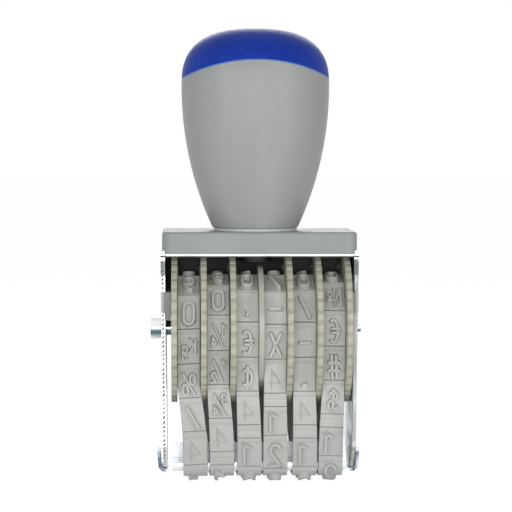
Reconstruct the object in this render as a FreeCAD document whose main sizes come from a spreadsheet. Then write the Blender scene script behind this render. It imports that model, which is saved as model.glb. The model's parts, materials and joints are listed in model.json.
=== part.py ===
"""Hand-held six-band rubber number stamp, in millimetres.

The stamp stands upright on its printing faces at z = 0. X runs along the wheel axle, -Y is the side
that shows the characters, and +Z goes up the handle.
"""
import FreeCAD, Part
import math
import os
import types

import Sketcher

Vector = FreeCAD.Vector

SIZES = {
    # Rubber bands: a loop with raised mirrored characters, cross ribs and one welded joint.
    "band_width": 4.4,
    "band_thickness": 1.0,
    "band_top_radius": 11.0,
    "facet_drop": 0.6,
    "type_relief": 1.0,
    "type_height": 4.4,
    "type_width": 2.0,
    "type_stroke": 0.6,
    "wide_type_width": 2.7,
    "fine_stroke": 0.36,
    "thin_stroke": 0.3,
    "thin_relief": 0.2,
    "rib_width": 1.05,
    "rib_relief": 0.15,
    "joint_width": 2.9,
    # Toothed number wheels and the disc between the two hands of wheels.
    "flange_radius": 15.2,
    "flange_thickness": 1.2,
    "tooth_depth": 0.5,
    "tooth_gap": 0.7,
    "drum_wall": 1.8,
    "drum_flat_depth": 0.35,
    "hub_radius": 3.4,
    "wheel_web": 1.0,
    "disc_radius": 12.85,
    "disc_thickness": 1.0,
    "stack_shift": 0.35,
    # Axle.
    "axle_height": 31.2,
    "axle_radius": 1.55,
    "axle_head_radius": 2.25,
    "axle_head_length": 2.15,
    "axle_stub_length": 1.25,
    "axle_end_bevel": 0.25,
    # Steel frame: an upside-down U.
    "plate_gap": 38.0,
    "plate_thickness": 0.9,
    "plate_depth": 18.5,
    "frame_top": 47.6,
    "frame_bend_radius": 1.3,
    "foot_bottom": 2.95,
    "foot_width": 6.6,
    "foot_taper_height": 4.9,
    # Grey plastic cover on the frame.
    "cover_width": 39.2,
    "cover_skirt": 0.7,
    "cover_skirt_drop": 0.55,
    "cover_height": 3.7,
    "cover_corner_radius": 2.0,
    "cover_edge_radius": 0.6,
    # Side guides between the plates and the outer wheels.
    "guide_bottom": 33.6,
    "guide_top": 39.2,
    "guide_lug_height": 4.1,
    "guide_lug_thickness": 0.6,
    # Nose bar: a bent steel channel whose end hooks cradle the plates' feet.
    "bar_sheet": 0.6,
    "bar_depth": 7.0,
    "bar_length": 35.6,
    "bar_bend_radius": 1.2,
    "bar_lip_height": 1.9,
    "bar_wall_height": 5.2,
    "bar_wall_corner": 1.6,
    "hook_depth": 6.2,
    "hook_gap": 0.3,
    "hook_height": 4.0,
    # Handle: a hollow bulb with a domed cap on an arched seam.
    "handle_shift": 0.65,
    "seat_radius": 8.5,
    "seat_thickness": 0.5,
    "handle_base_radius": 8.7,
    "handle_max_radius": 15.07,
    "handle_flank_height": 28.8,
    "dome_height": 12.06,
    "handle_wall": 2.0,
    "handle_floor": 3.0,
    "boss_radius": 5.6,
    "seam_radius": 35.0,
    "seam_rise": 33.6,
    "seam_gap": 0.05,
    "cap_lip_depth": 3.0,
    "cap_lip_wall": 1.2,
    # Screw, washer and insert that hold the handle, the cover and the frame together.
    "screw_radius": 2.0,
    "screw_head_radius": 3.5,
    "screw_head_height": 1.2,
    "screw_slot_width": 0.9,
    "screw_slot_depth": 0.6,
    "screw_reach": 8.0,
    "washer_thickness": 0.5,
    "washer_radius": 3.3,
    "insert_radius": 3.6,
    "insert_length": 10.0,
    "insert_groove_width": 1.2,
    "insert_groove_depth": 0.4,
    # Clearances.
    "running_gap": 0.05,
    "side_gap": 0.1,
    "drum_gap": 0.2,
    "seat_gap": 0.02,
    "hole_gap": 0.2,
    "lip_gap": 0.15,
    "apron_gap": 0.25,
    "cut_overrun": 0.5,
    "weld_depth": 0.3,
}

WHEELS_PER_SIDE = 3
TEETH = 40
DRUM_FLATS = 10
CELLS_PER_BAND = 14
DOME_POWER = 2.65
DOME_POINTS = 9
ARC_STEPS = 8
SAME_PLACE = 1e-6
NEARLY_ALONG = 0.9

# Characters in a cell, drawn as strokes in shares of the type's width and height.
GLYPH_SHARES = {
    "0": [[(0.5, 0), (0.85, 0.08), (1, 0.25), (1, 0.75), (0.85, 0.92), (0.5, 1),
           (0.15, 0.92), (0, 0.75), (0, 0.25), (0.15, 0.08), (0.5, 0)]],
    "1": [[(0.15, 0.78), (0.6, 1), (0.6, 0)]],
    "2": [[(0.02, 0.74), (0.15, 0.93), (0.5, 1), (0.87, 0.92), (0.97, 0.72), (0.8, 0.48),
           (0, 0), (1, 0)]],
    "3": [[(0.03, 0.88), (0.45, 1), (0.88, 0.9), (0.92, 0.66), (0.45, 0.54), (0.98, 0.4),
           (0.95, 0.12), (0.48, 0), (0, 0.12)]],
    "4": [[(0.72, 0), (0.72, 1)], [(0.72, 1), (0, 0.28), (1, 0.28)]],
    "5": [[(0.92, 1), (0.12, 1), (0.05, 0.55), (0.55, 0.62), (0.95, 0.45), (0.95, 0.15),
           (0.5, 0), (0.02, 0.1)]],
    "6": [[(0.88, 0.96), (0.35, 0.8), (0.04, 0.42), (0.08, 0.12), (0.5, 0), (0.92, 0.12),
           (0.96, 0.38), (0.5, 0.56), (0.2, 0.46)]],
    "7": [[(0, 1), (1, 1), (0.35, 0)]],
    "8": [[(0.5, 0.54), (0.1, 0.68), (0.1, 0.9), (0.5, 1), (0.9, 0.9), (0.9, 0.68), (0.5, 0.54)],
          [(0.5, 0.54), (0, 0.38), (0, 0.12), (0.5, 0), (1, 0.12), (1, 0.38), (0.5, 0.54)]],
    "9": [[(0.12, 0.04), (0.65, 0.2), (0.96, 0.58), (0.92, 0.88), (0.5, 1), (0.08, 0.88),
           (0.04, 0.62), (0.5, 0.44), (0.8, 0.54)]],
    "-": [[(0, 0.5), (1, 0.5)]],
    ".": [[(0.42, 0.05), (0.58, 0.05)]],
    "/": [[(0, 0), (1, 1)]],
    "X": [[(0, 0), (1, 1)], [(0, 1), (1, 0)]],
    "#": [[(0, 0.32), (1, 0.32)], [(0, 0.68), (1, 0.68)], [(0.2, 0), (0.35, 1)],
          [(0.65, 0), (0.8, 1)]],
    "$": [[(0.95, 0.78), (0.5, 0.9), (0.08, 0.75), (0.5, 0.52), (0.95, 0.28), (0.5, 0.1),
           (0.03, 0.24)], [(0.5, 0), (0.5, 1)]],
    "cent": [[(0.95, 0.72), (0.5, 0.85), (0.05, 0.6), (0.05, 0.38), (0.5, 0.15), (0.95, 0.28)],
             [(0.5, 0), (0.5, 1)]],
    "euro": [[(1, 0.85), (0.6, 1), (0.2, 0.75), (0.2, 0.25), (0.6, 0), (1, 0.15)],
             [(0, 0.6), (0.85, 0.6)], [(0, 0.42), (0.85, 0.42)]],
    "%": [[(0, 0), (1, 1)], [(0.05, 0.7), (0.05, 0.9), (0.35, 0.9), (0.35, 0.7), (0.05, 0.7)],
          [(0.65, 0.1), (0.65, 0.3), (0.95, 0.3), (0.95, 0.1), (0.65, 0.1)]],
    "kilo": [[(0, 0.35), (0, 1)], [(0.5, 1), (0.06, 0.62), (0.5, 0.35)],
             [(1, 0.6), (0.7, 0.6), (0.66, 0.3), (0.98, 0.3)], [(1, 0.6), (1, 0.05), (0.7, 0)]],
    "number": [[(0, 0.1), (0, 1), (0.5, 0.1), (0.5, 1)],
               [(0.75, 0.55), (0.75, 0.8), (1, 0.8), (1, 0.55), (0.75, 0.55)]],
    "quarter": [[(0, 0), (1, 1)], [(0.12, 0.6), (0.12, 1)], [(0.9, 0), (0.9, 0.4), (0.6, 0.14)]],
    "half": [[(0, 0), (1, 1)], [(0.12, 0.6), (0.12, 1)],
             [(0.62, 0.38), (0.92, 0.36), (0.6, 0), (0.98, 0)]],
    "three_quarters": [[(0, 0), (1, 1)], [(0, 0.98), (0.3, 0.9), (0.1, 0.78), (0.3, 0.64), (0, 0.58)],
                       [(0.9, 0), (0.9, 0.4), (0.6, 0.14)]],
}
GLYPH_SHARES["thin"] = GLYPH_SHARES["4"]
FINE_GLYPHS = ("%", "kilo", "number", "quarter", "half", "three_quarters")
# Numerals round the nose's corners, as bars: low x, low y, high x, high y, in the same shares.
BAR_SHARES = {
    "1": [(0.45, 0, 0.75, 1), (0.15, 0.72, 0.5, 0.84)],
    "2": [(0, 0, 1, 0.12), (0, 0.06, 0.3, 0.5), (0, 0.44, 1, 0.56), (0.7, 0.5, 1, 0.94), (0, 0.88, 1, 1)],
    "3": [(0, 0, 1, 0.12), (0.7, 0, 1, 1), (0.2, 0.44, 1, 0.56), (0, 0.88, 1, 1)],
}
# The four signs above each band's joint, going up, and where round the loop the joint lies.
BAND_SIGNS = [
    ("thin", "/", "%", "kilo"),
    ("thin", "three_quarters", "half", "quarter"),
    ("thin", "cent", "euro", "."),
    ("thin", "X", "-", "/"),
    ("thin", ".", "-", "/"),
    ("$", "#", "euro", "number"),
]
JOINT_PLACE_SHARES = [0.0600, 0.0874, 0.1438, 0.2095, 0.1433, 0.1660]
DIGITS_GOING_UP = "0987654321"

doc = FreeCAD.newDocument("band_stamp")
sheet = doc.addObject("Spreadsheet::Sheet", "sizes")
for row, (alias, number) in enumerate(SIZES.items(), start=1):
    sheet.set(f"A{row}", str(number))
    sheet.setAlias(f"A{row}", alias)
doc.recompute()


class Size:
    """A length: its number, and the sheet expression that gives it."""

    def __init__(self, number, text):
        self.number = number
        self.text = text

    def __add__(self, other):
        return Size(self.number + other.number, f"({self.text} + {other.text})")

    def __sub__(self, other):
        return Size(self.number - other.number, f"({self.text} - {other.text})")

    def __mul__(self, factor):
        return Size(self.number * factor, f"({self.text} * {factor})")

    def __neg__(self):
        return self * -1


def half_chord(radius, offset):
    """Half the width of a round piece at an offset from its middle."""
    half = math.sqrt(radius.number ** 2 - offset.number ** 2)
    return Size(half, f"sqrt({radius.text}^2 - {offset.text}^2)")


def higher(one, other):
    return Size(max(one.number, other.number), f"max({one.text}; {other.text})")


size = types.SimpleNamespace(**{alias: Size(float(sheet.get(alias)), f"sizes.{alias}") for alias in SIZES})
ZERO = Size(0, "0")

# Places that several pieces share.
plate_inner = size.plate_gap * 0.5
plate_outer = plate_inner + size.plate_thickness
web_under = size.frame_top - size.plate_thickness
cover_top = size.frame_top + size.cover_height
handle_bottom = cover_top + size.seat_thickness
handle_centre = -size.handle_shift
wheel_pitch = size.flange_thickness + size.band_width + size.side_gap * 3
drum_radius = size.band_top_radius - size.band_thickness - size.facet_drop - size.drum_gap
drum_length = size.band_width + size.side_gap * 2
bar_bottom = size.type_relief + size.band_thickness
side_room = (size.plate_gap - size.disc_thickness) * 0.5 - wheel_pitch * WHEELS_PER_SIDE
parts = []


def bind(thing, name, value):
    """Tie one property of an object to the sheet."""
    thing.setExpression(name, value.text)


def place(thing, x=None, y=None, z=None):
    """Stand an object at a bound place."""
    for axis, value in (("x", x), ("y", y), ("z", z)):
        if value is not None:
            bind(thing, f"Placement.Base.{axis}", value)


def new_body(label):
    """Start a piece that is built from sketches."""
    body = doc.addObject("PartDesign::Body", label)
    body.Label = label
    parts.append(body)
    return body


def origin_feature(body, role):
    return next(feature for feature in body.Origin.OriginFeatures if feature.Role == role)


def new_sketch(body, role, offset=None):
    """Open a sketch on one of the body's own planes, raised off it by offset."""
    sketch = body.newObject("Sketcher::SketchObject", f"{body.Name}_sketch")
    sketch.AttachmentSupport = (origin_feature(body, role), [""])
    sketch.MapMode = "FlatFace"
    if offset is not None:
        bind(sketch, "AttachmentOffset.Base.z", offset)
    return sketch


def pin_point(sketch, geometry, end, x, y):
    """Fix one point of a sketch at a bound place from the sketch's origin."""
    for kind, value in (("DistanceX", x), ("DistanceY", y)):
        index = sketch.addConstraint(Sketcher.Constraint(kind, -1, 1, geometry, end, value.number))
        sketch.setExpression(f"Constraints[{index}]", value.text)


def draw_polygon(sketch, corners):
    """Draw a closed polygon through bound corners."""
    first = sketch.GeometryCount
    count = len(corners)
    for here, there in zip(corners, corners[1:] + corners[:1]):
        start = Vector(here[0].number, here[1].number, 0)
        finish = Vector(there[0].number, there[1].number, 0)
        sketch.addGeometry(Part.LineSegment(start, finish))
    for index in range(count):
        following = first + (index + 1) % count
        sketch.addConstraint(Sketcher.Constraint("Coincident", first + index, 2, following, 1))
    for index, (x, y) in enumerate(corners):
        pin_point(sketch, first + index, 1, x, y)


def draw_rectangle(sketch, low_x, low_y, high_x, high_y):
    draw_polygon(sketch, [(low_x, low_y), (high_x, low_y), (high_x, high_y), (low_x, high_y)])


def draw_circle(sketch, x, y, radius):
    """Draw a circle with a bound centre and radius."""
    centre = Vector(x.number, y.number, 0)
    index = sketch.addGeometry(Part.Circle(centre, Vector(0, 0, 1), radius.number))
    pin_point(sketch, index, 3, x, y)
    constraint = sketch.addConstraint(Sketcher.Constraint("Radius", index, radius.number))
    sketch.setExpression(f"Constraints[{constraint}]", radius.text)


def pad(body, sketch, length, symmetric=False, reverse=False):
    """Grow the body by a sketch."""
    feature = body.newObject("PartDesign::Pad", f"{body.Name}_pad")
    feature.Profile = sketch
    bind(feature, "Length", length)
    feature.SideType = "Symmetric" if symmetric else "One side"
    feature.Reversed = reverse
    return feature


def pocket(body, sketch, length, symmetric=False, reverse=False):
    """Cut a sketch out of the body."""
    feature = body.newObject("PartDesign::Pocket", f"{body.Name}_pocket")
    feature.Profile = sketch
    bind(feature, "Length", length)
    feature.SideType = "Symmetric" if symmetric else "One side"
    feature.Reversed = reverse
    return feature


def revolve(body, sketch, axis):
    """Turn a sketch all the way round one of its own axes."""
    feature = body.newObject("PartDesign::Revolution", f"{body.Name}_turn")
    feature.Profile = sketch
    feature.ReferenceAxis = (sketch, [axis])
    feature.Angle = 360
    return feature


def edges_where(feature, test):
    """Names of a feature's edges whose direction and middle point pass a test."""
    doc.recompute()
    names = []
    for number, edge in enumerate(feature.Shape.Edges, start=1):
        start, finish = edge.firstVertex().Point, edge.lastVertex().Point
        along = finish - start
        if along.Length > 0 and test(along.normalize(), (start + finish) * 0.5):
            names.append(f"Edge{number}")
    return names


def round_edges(body, radius, test):
    """Fillet the edges that pass a test."""
    base = body.Tip
    feature = body.newObject("PartDesign::Fillet", f"{body.Name}_fillet")
    feature.Base = (base, edges_where(base, test))
    bind(feature, "Radius", radius)
    return feature


def keep_shape(label, shape):
    """Store a shape that is neither a sketched body nor a primitive."""
    piece = doc.addObject("Part::Feature", label)
    piece.Label = label
    piece.Shape = shape
    parts.append(piece)
    return piece


def make_frame():
    """The steel U: a web under the cover and two side plates that taper to feet."""
    body = new_body("frame")
    outline = new_sketch(body, "XZ_Plane")
    draw_polygon(outline, [
        (-plate_outer, size.foot_bottom), (-plate_outer, size.frame_top), (plate_outer, size.frame_top),
        (plate_outer, size.foot_bottom), (plate_inner, size.foot_bottom), (plate_inner, web_under),
        (-plate_inner, web_under), (-plate_inner, size.foot_bottom)])
    pad(body, outline, size.plate_depth, symmetric=True)
    top = size.frame_top.number
    round_edges(body, size.frame_bend_radius,
                lambda along, middle: abs(along.y) > NEARLY_ALONG and middle.z > top - SAME_PLACE)
    inner = web_under.number
    round_edges(body, size.frame_bend_radius - size.plate_thickness,
                lambda along, middle: abs(along.y) > NEARLY_ALONG and abs(middle.z - inner) < SAME_PLACE
                and abs(middle.x) > plate_inner.number - SAME_PLACE)
    half_depth = size.plate_depth * 0.5
    half_foot = size.foot_width * 0.5
    below = size.foot_bottom - size.cut_overrun
    taper_top = size.foot_bottom + size.foot_taper_height
    corners = new_sketch(body, "YZ_Plane")
    for side in (-1, 1):
        draw_polygon(corners, [
            (half_foot * side, size.foot_bottom), (half_foot * side, below),
            ((half_depth + size.cut_overrun) * side, below),
            ((half_depth + size.cut_overrun) * side, taper_top), (half_depth * side, taper_top)])
    pocket(body, corners, plate_outer * 4, symmetric=True)
    axle_holes = new_sketch(body, "YZ_Plane")
    draw_circle(axle_holes, ZERO, size.axle_height, size.axle_radius + size.seat_gap)
    pocket(body, axle_holes, plate_outer * 4, symmetric=True)
    screw_hole = new_sketch(body, "XY_Plane", size.frame_top + size.cut_overrun)
    draw_circle(screw_hole, handle_centre, ZERO, size.screw_radius + size.hole_gap)
    pocket(body, screw_hole, size.plate_thickness + size.cut_overrun * 2)


def make_cover():
    """The grey cap on the web: a short skirt in front, and an apron behind with notches for the rims."""
    body = new_body("top_cover")
    place(body, z=size.frame_top)
    half_width = size.cover_width * 0.5
    channel_half = size.plate_depth * 0.5 + size.seat_gap
    half_depth = channel_half + size.cover_skirt
    over_type = half_chord(size.band_top_radius + size.type_relief + size.apron_gap, channel_half)
    apron_bottom = higher(size.axle_height + over_type, size.guide_top + size.side_gap)
    apron = size.frame_top - apron_bottom
    block = new_sketch(body, "XY_Plane", -apron)
    draw_rectangle(block, -half_width, -half_depth, half_width, half_depth)
    pad(body, block, size.cover_height + apron)
    round_edges(body, size.cover_corner_radius, lambda along, middle: abs(along.z) > NEARLY_ALONG)
    height = size.cover_height.number
    round_edges(body, size.cover_edge_radius, lambda along, middle: middle.z > height - SAME_PLACE)
    channel = new_sketch(body, "YZ_Plane")
    below = -(apron + size.cut_overrun)
    before = -(half_depth + size.cut_overrun)
    draw_polygon(channel, [
        (-channel_half, ZERO), (channel_half, ZERO), (channel_half, below), (before, below),
        (before, -size.cover_skirt_drop), (-channel_half, -size.cover_skirt_drop)])
    pocket(body, channel, size.cover_width * 2, symmetric=True)
    notches = new_sketch(body, "XZ_Plane")
    rims = [(size.disc_radius, -size.disc_thickness * 0.5, size.disc_thickness * 0.5)]
    for side in (-1, 1):
        for step in range(WHEELS_PER_SIDE):
            near = size.disc_thickness * 0.5 + wheel_pitch * step + drum_length
            ends = [near * side, (near + size.flange_thickness) * side]
            rims.append((size.flange_radius, ends[side < 0], ends[side > 0]))
    for radius, low, high in rims:
        top = size.axle_height + half_chord(radius, channel_half) + size.apron_gap - size.frame_top
        draw_rectangle(notches, size.stack_shift + low - size.apron_gap, below,
                       size.stack_shift + high + size.apron_gap, top)
    pocket(body, notches, half_depth + size.cut_overrun)
    hole = new_sketch(body, "XY_Plane", size.cover_height + size.cut_overrun)
    draw_circle(hole, handle_centre, ZERO, size.screw_radius + size.hole_gap)
    pocket(body, hole, size.cover_height + size.cut_overrun * 2)


def make_guide(label, side, thickness):
    """A side guide: a wall inside the plate, with lugs round the plate's front and back edges."""
    body = new_body(label)
    place(body, z=size.guide_bottom)
    half_depth = size.plate_depth * 0.5
    lug_depth = half_depth + size.guide_lug_thickness
    wall = new_sketch(body, "XY_Plane")
    inner_face = plate_inner - thickness
    draw_rectangle(wall, inner_face * side, -lug_depth, plate_inner * side, lug_depth)
    pad(body, wall, size.guide_top - size.guide_bottom)
    lugs = new_sketch(body, "XY_Plane", size.guide_top - size.guide_bottom - size.guide_lug_height)
    for end in (-1, 1):
        draw_rectangle(lugs, inner_face * side, half_depth * end, plate_outer * side, lug_depth * end)
    pad(body, lugs, size.guide_lug_height)


def make_axle():
    """The headed pin that carries the wheels, pressed through both plates."""
    body = new_body("axle")
    place(body, z=size.axle_height)
    head_end = -(plate_outer + size.axle_head_length)
    stub_end = plate_outer + size.axle_stub_length
    outline = new_sketch(body, "XZ_Plane")
    draw_polygon(outline, [
        (head_end, ZERO), (head_end, size.axle_head_radius), (-plate_outer, size.axle_head_radius),
        (-plate_outer, size.axle_radius), (stub_end, size.axle_radius), (stub_end, ZERO)])
    revolve(body, outline, "H_Axis")
    head, stub = head_end.number, stub_end.number
    doc.recompute()
    rims = []
    for number, edge in enumerate(body.Shape.Edges, start=1):
        away = min(abs(edge.CenterOfMass.x - head), abs(edge.CenterOfMass.x - stub))
        if edge.Closed and away < SAME_PLACE:
            rims.append(f"Edge{number}")
    bevel = body.newObject("PartDesign::Chamfer", "axle_bevel")
    bevel.Base = (body.getObject("axle_turn"), rims)
    bind(bevel, "Size", size.axle_end_bevel)


def make_wheel(number):
    """A number wheel: a toothed finger flange, and a hollow drum with flats that drives the band."""
    side = -1 if number <= WHEELS_PER_SIDE else 1
    steps = WHEELS_PER_SIDE - number if side < 0 else number - WHEELS_PER_SIDE - 1
    body = new_body(f"wheel_{number}")
    inner_end = (size.disc_thickness * 0.5 + wheel_pitch * steps + size.side_gap) * side
    place(body, x=size.stack_shift + inner_end, z=size.axle_height)
    drum_end = (drum_length - size.side_gap) * side
    flange_end = (drum_length - size.side_gap + size.flange_thickness) * side
    bore = size.axle_radius + size.running_gap
    cavity = drum_radius - size.drum_wall
    web_face = (drum_length - size.side_gap - size.wheel_web + size.flange_thickness) * side
    outline = new_sketch(body, "XZ_Plane")
    draw_polygon(outline, [
        (ZERO, bore), (flange_end, bore), (flange_end, size.flange_radius), (drum_end, size.flange_radius),
        (drum_end, drum_radius), (ZERO, drum_radius), (ZERO, cavity), (web_face, cavity),
        (web_face, size.hub_radius), (ZERO, size.hub_radius)])
    revolve(body, outline, "H_Axis")
    notch = new_sketch(body, "YZ_Plane")
    half_gap = size.tooth_gap * 0.5
    rim = size.flange_radius + size.cut_overrun
    draw_polygon(notch, [
        (-half_gap, rim), (-half_gap * 0.5, size.flange_radius - size.tooth_depth),
        (half_gap * 0.5, size.flange_radius - size.tooth_depth), (half_gap, rim)])
    cut = pocket(body, notch, (drum_length + size.flange_thickness) * 2, symmetric=True)
    repeat_round(body, cut, TEETH)
    flat = new_sketch(body, "YZ_Plane")
    flat_height = drum_radius - size.drum_flat_depth
    draw_rectangle(flat, -drum_radius * 0.5, flat_height, drum_radius * 0.5, size.flange_radius)
    cut = pocket(body, flat, drum_length - size.side_gap, reverse=side > 0)
    repeat_round(body, cut, DRUM_FLATS)


def repeat_round(body, feature, count):
    """Repeat a cut evenly round the body's X axis."""
    pattern = body.newObject("PartDesign::PolarPattern", f"{body.Name}_round")
    pattern.Originals = [feature]
    pattern.Axis = (origin_feature(body, "X_Axis"), [""])
    pattern.Angle = 360
    pattern.Occurrences = count
    body.Tip = pattern


def make_disc():
    """The smooth disc that parts the two hands of wheels."""
    disc = doc.addObject("Part::Cylinder", "disc_blank")
    bind(disc, "Radius", size.disc_radius)
    bind(disc, "Height", size.disc_thickness)
    bore = doc.addObject("Part::Cylinder", "disc_bore")
    bind(bore, "Radius", size.axle_radius + size.seat_gap)
    bind(bore, "Height", size.disc_thickness)
    cut = doc.addObject("Part::Cut", "centre_disc")
    cut.Label = "centre_disc"
    cut.Base = disc
    cut.Tool = bore
    cut.Placement.Rotation = FreeCAD.Rotation(Vector(0, 1, 0), 90)
    place(cut, x=size.stack_shift - size.disc_thickness * 0.5, z=size.axle_height)
    parts.append(cut)


def make_nose_bar():
    """The bent channel that the bands run round, with a hook at each end under the plates' feet."""
    body = new_body("nose_bar")
    place(body, z=bar_bottom)
    half_depth = size.bar_depth * 0.5
    half_inside = half_depth - size.bar_sheet
    channel = new_sketch(body, "YZ_Plane")
    draw_polygon(channel, [
        (-half_depth, ZERO), (half_depth, ZERO), (half_depth, size.bar_wall_height),
        (half_inside, size.bar_wall_height), (half_inside, size.bar_sheet),
        (-half_inside, size.bar_sheet), (-half_inside, size.bar_lip_height),
        (-half_depth, size.bar_lip_height)])
    pad(body, channel, size.bar_length, symmetric=True)
    sheet_top = size.bar_sheet.number
    wall_top = size.bar_wall_height.number
    round_edges(body, size.bar_bend_radius,
                lambda along, middle: abs(along.x) > NEARLY_ALONG and abs(middle.z) < SAME_PLACE)
    round_edges(body, size.bar_bend_radius - size.bar_sheet,
                lambda along, middle: abs(along.x) > NEARLY_ALONG
                and abs(middle.z - sheet_top) < SAME_PLACE)
    round_edges(body, size.bar_wall_corner,
                lambda along, middle: abs(along.y) > NEARLY_ALONG and middle.z > wall_top - SAME_PLACE)
    arm_inside = plate_outer + size.hook_gap
    arm_outside = arm_inside + size.bar_sheet
    tongue = size.bar_length * 0.5 - size.weld_depth
    hooks = new_sketch(body, "XZ_Plane")
    for side in (-1, 1):
        draw_polygon(hooks, [
            (tongue * side, ZERO), (arm_outside * side, ZERO), (arm_outside * side, size.hook_height),
            (arm_inside * side, size.hook_height), (arm_inside * side, size.bar_sheet),
            (tongue * side, size.bar_sheet)])
    pad(body, hooks, size.hook_depth, symmetric=True)
    hook_out = arm_outside.number
    hook_in = arm_inside.number
    round_edges(body, size.bar_bend_radius,
                lambda along, middle: abs(along.y) > NEARLY_ALONG and abs(middle.z) < SAME_PLACE
                and abs(abs(middle.x) - hook_out) < SAME_PLACE)
    round_edges(body, size.bar_bend_radius - size.bar_sheet,
                lambda along, middle: abs(along.y) > NEARLY_ALONG and abs(middle.z - sheet_top) < SAME_PLACE
                and abs(abs(middle.x) - hook_in) < SAME_PLACE)


def make_seat_washer():
    """The light ring between the handle and the cover."""
    body = new_body("seat_washer")
    place(body, x=handle_centre, z=cover_top)
    ring = new_sketch(body, "XY_Plane")
    draw_circle(ring, ZERO, ZERO, size.seat_radius)
    draw_circle(ring, ZERO, ZERO, size.screw_radius + size.hole_gap)
    pad(body, ring, size.seat_thickness)


def make_screw():
    """The slotted screw: its head bears on the washer inside the frame, its tip is in the handle."""
    body = new_body("handle_screw")
    place(body, x=handle_centre, z=web_under - size.washer_thickness)
    clamped = size.washer_thickness + size.plate_thickness + size.cover_height + size.seat_thickness
    tip = clamped + size.screw_reach
    outline = new_sketch(body, "XZ_Plane")
    draw_polygon(outline, [
        (ZERO, -size.screw_head_height), (size.screw_head_radius, -size.screw_head_height),
        (size.screw_head_radius, ZERO), (size.screw_radius, ZERO), (size.screw_radius, tip), (ZERO, tip)])
    revolve(body, outline, "V_Axis")
    slot = new_sketch(body, "XY_Plane", -(size.screw_head_height - size.screw_slot_depth))
    half_slot = size.screw_slot_width * 0.5
    draw_rectangle(slot, -(size.screw_head_radius + size.cut_overrun), -half_slot,
                   size.screw_head_radius + size.cut_overrun, half_slot)
    pocket(body, slot, size.screw_slot_depth + size.cut_overrun)


def make_spring_washer():
    """The washer between the screw's head and the web."""
    body = new_body("spring_washer")
    place(body, x=handle_centre, z=web_under - size.washer_thickness)
    ring = new_sketch(body, "XY_Plane")
    draw_circle(ring, ZERO, ZERO, size.washer_radius)
    draw_circle(ring, ZERO, ZERO, size.screw_radius + size.seat_gap)
    pad(body, ring, size.washer_thickness)


def make_insert():
    """The threaded sleeve moulded into the handle's boss, with a groove that the plastic grips."""
    body = new_body("handle_insert")
    place(body, x=handle_centre, z=handle_bottom)
    bore = size.screw_radius + size.seat_gap
    waist = size.insert_radius - size.insert_groove_depth
    groove_low = (size.insert_length - size.insert_groove_width) * 0.5
    groove_high = (size.insert_length + size.insert_groove_width) * 0.5
    outline = new_sketch(body, "XZ_Plane")
    draw_polygon(outline, [
        (bore, ZERO), (size.insert_radius, ZERO), (size.insert_radius, groove_low), (waist, groove_low),
        (waist, groove_high), (size.insert_radius, groove_high), (size.insert_radius, size.insert_length),
        (bore, size.insert_length)])
    revolve(body, outline, "V_Axis")


def bulb(inset):
    """The handle's full shape, made smaller all over by inset, about its own axis."""
    radius = size.handle_max_radius.number
    flank_height = size.handle_flank_height.number
    narrowing = radius - size.handle_base_radius.number
    flank_radius = (narrowing ** 2 + flank_height ** 2) / (2 * narrowing)
    widest = handle_bottom.number + flank_height
    foot = handle_bottom.number + (size.handle_floor.number if inset else 0)
    reach = flank_radius - inset

    def flank(height):
        drop = widest - height
        return Vector(radius - flank_radius + math.sqrt(reach ** 2 - drop ** 2), 0, height)

    dome = []
    for step in range(DOME_POINTS):
        angle = math.pi / 2 * step / (DOME_POINTS - 1)
        across = (radius - inset) * math.cos(angle) ** (2 / DOME_POWER)
        rise = (size.dome_height.number - inset) * math.sin(angle) ** (2 / DOME_POWER)
        dome.append(Vector(across if step < DOME_POINTS - 1 else 0, 0, widest + rise))
    curve = Part.BSplineCurve()
    curve.interpolate(Points=dome, InitialTangent=Vector(0, 0, 1), FinalTangent=Vector(-1, 0, 0))
    side = Part.Arc(flank(foot), flank((foot + widest) / 2), flank(widest))
    wire = Part.Wire([
        Part.LineSegment(Vector(0, 0, foot), flank(foot)).toShape(), side.toShape(), curve.toShape(),
        Part.LineSegment(dome[-1], Vector(0, 0, foot)).toShape()])
    return Part.Face(wire).revolve(Vector(0, 0, 0), Vector(0, 0, 1), 360)


def seam_cylinder(growth):
    """The arched cut between the handle's grey part and its cap."""
    radius = size.seam_radius.number + growth
    reach = size.handle_max_radius.number * 2
    height = handle_bottom.number + size.seam_rise.number - size.seam_radius.number
    return Part.makeCylinder(radius, reach * 2, Vector(0, -reach, height), Vector(0, 1, 0))


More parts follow.
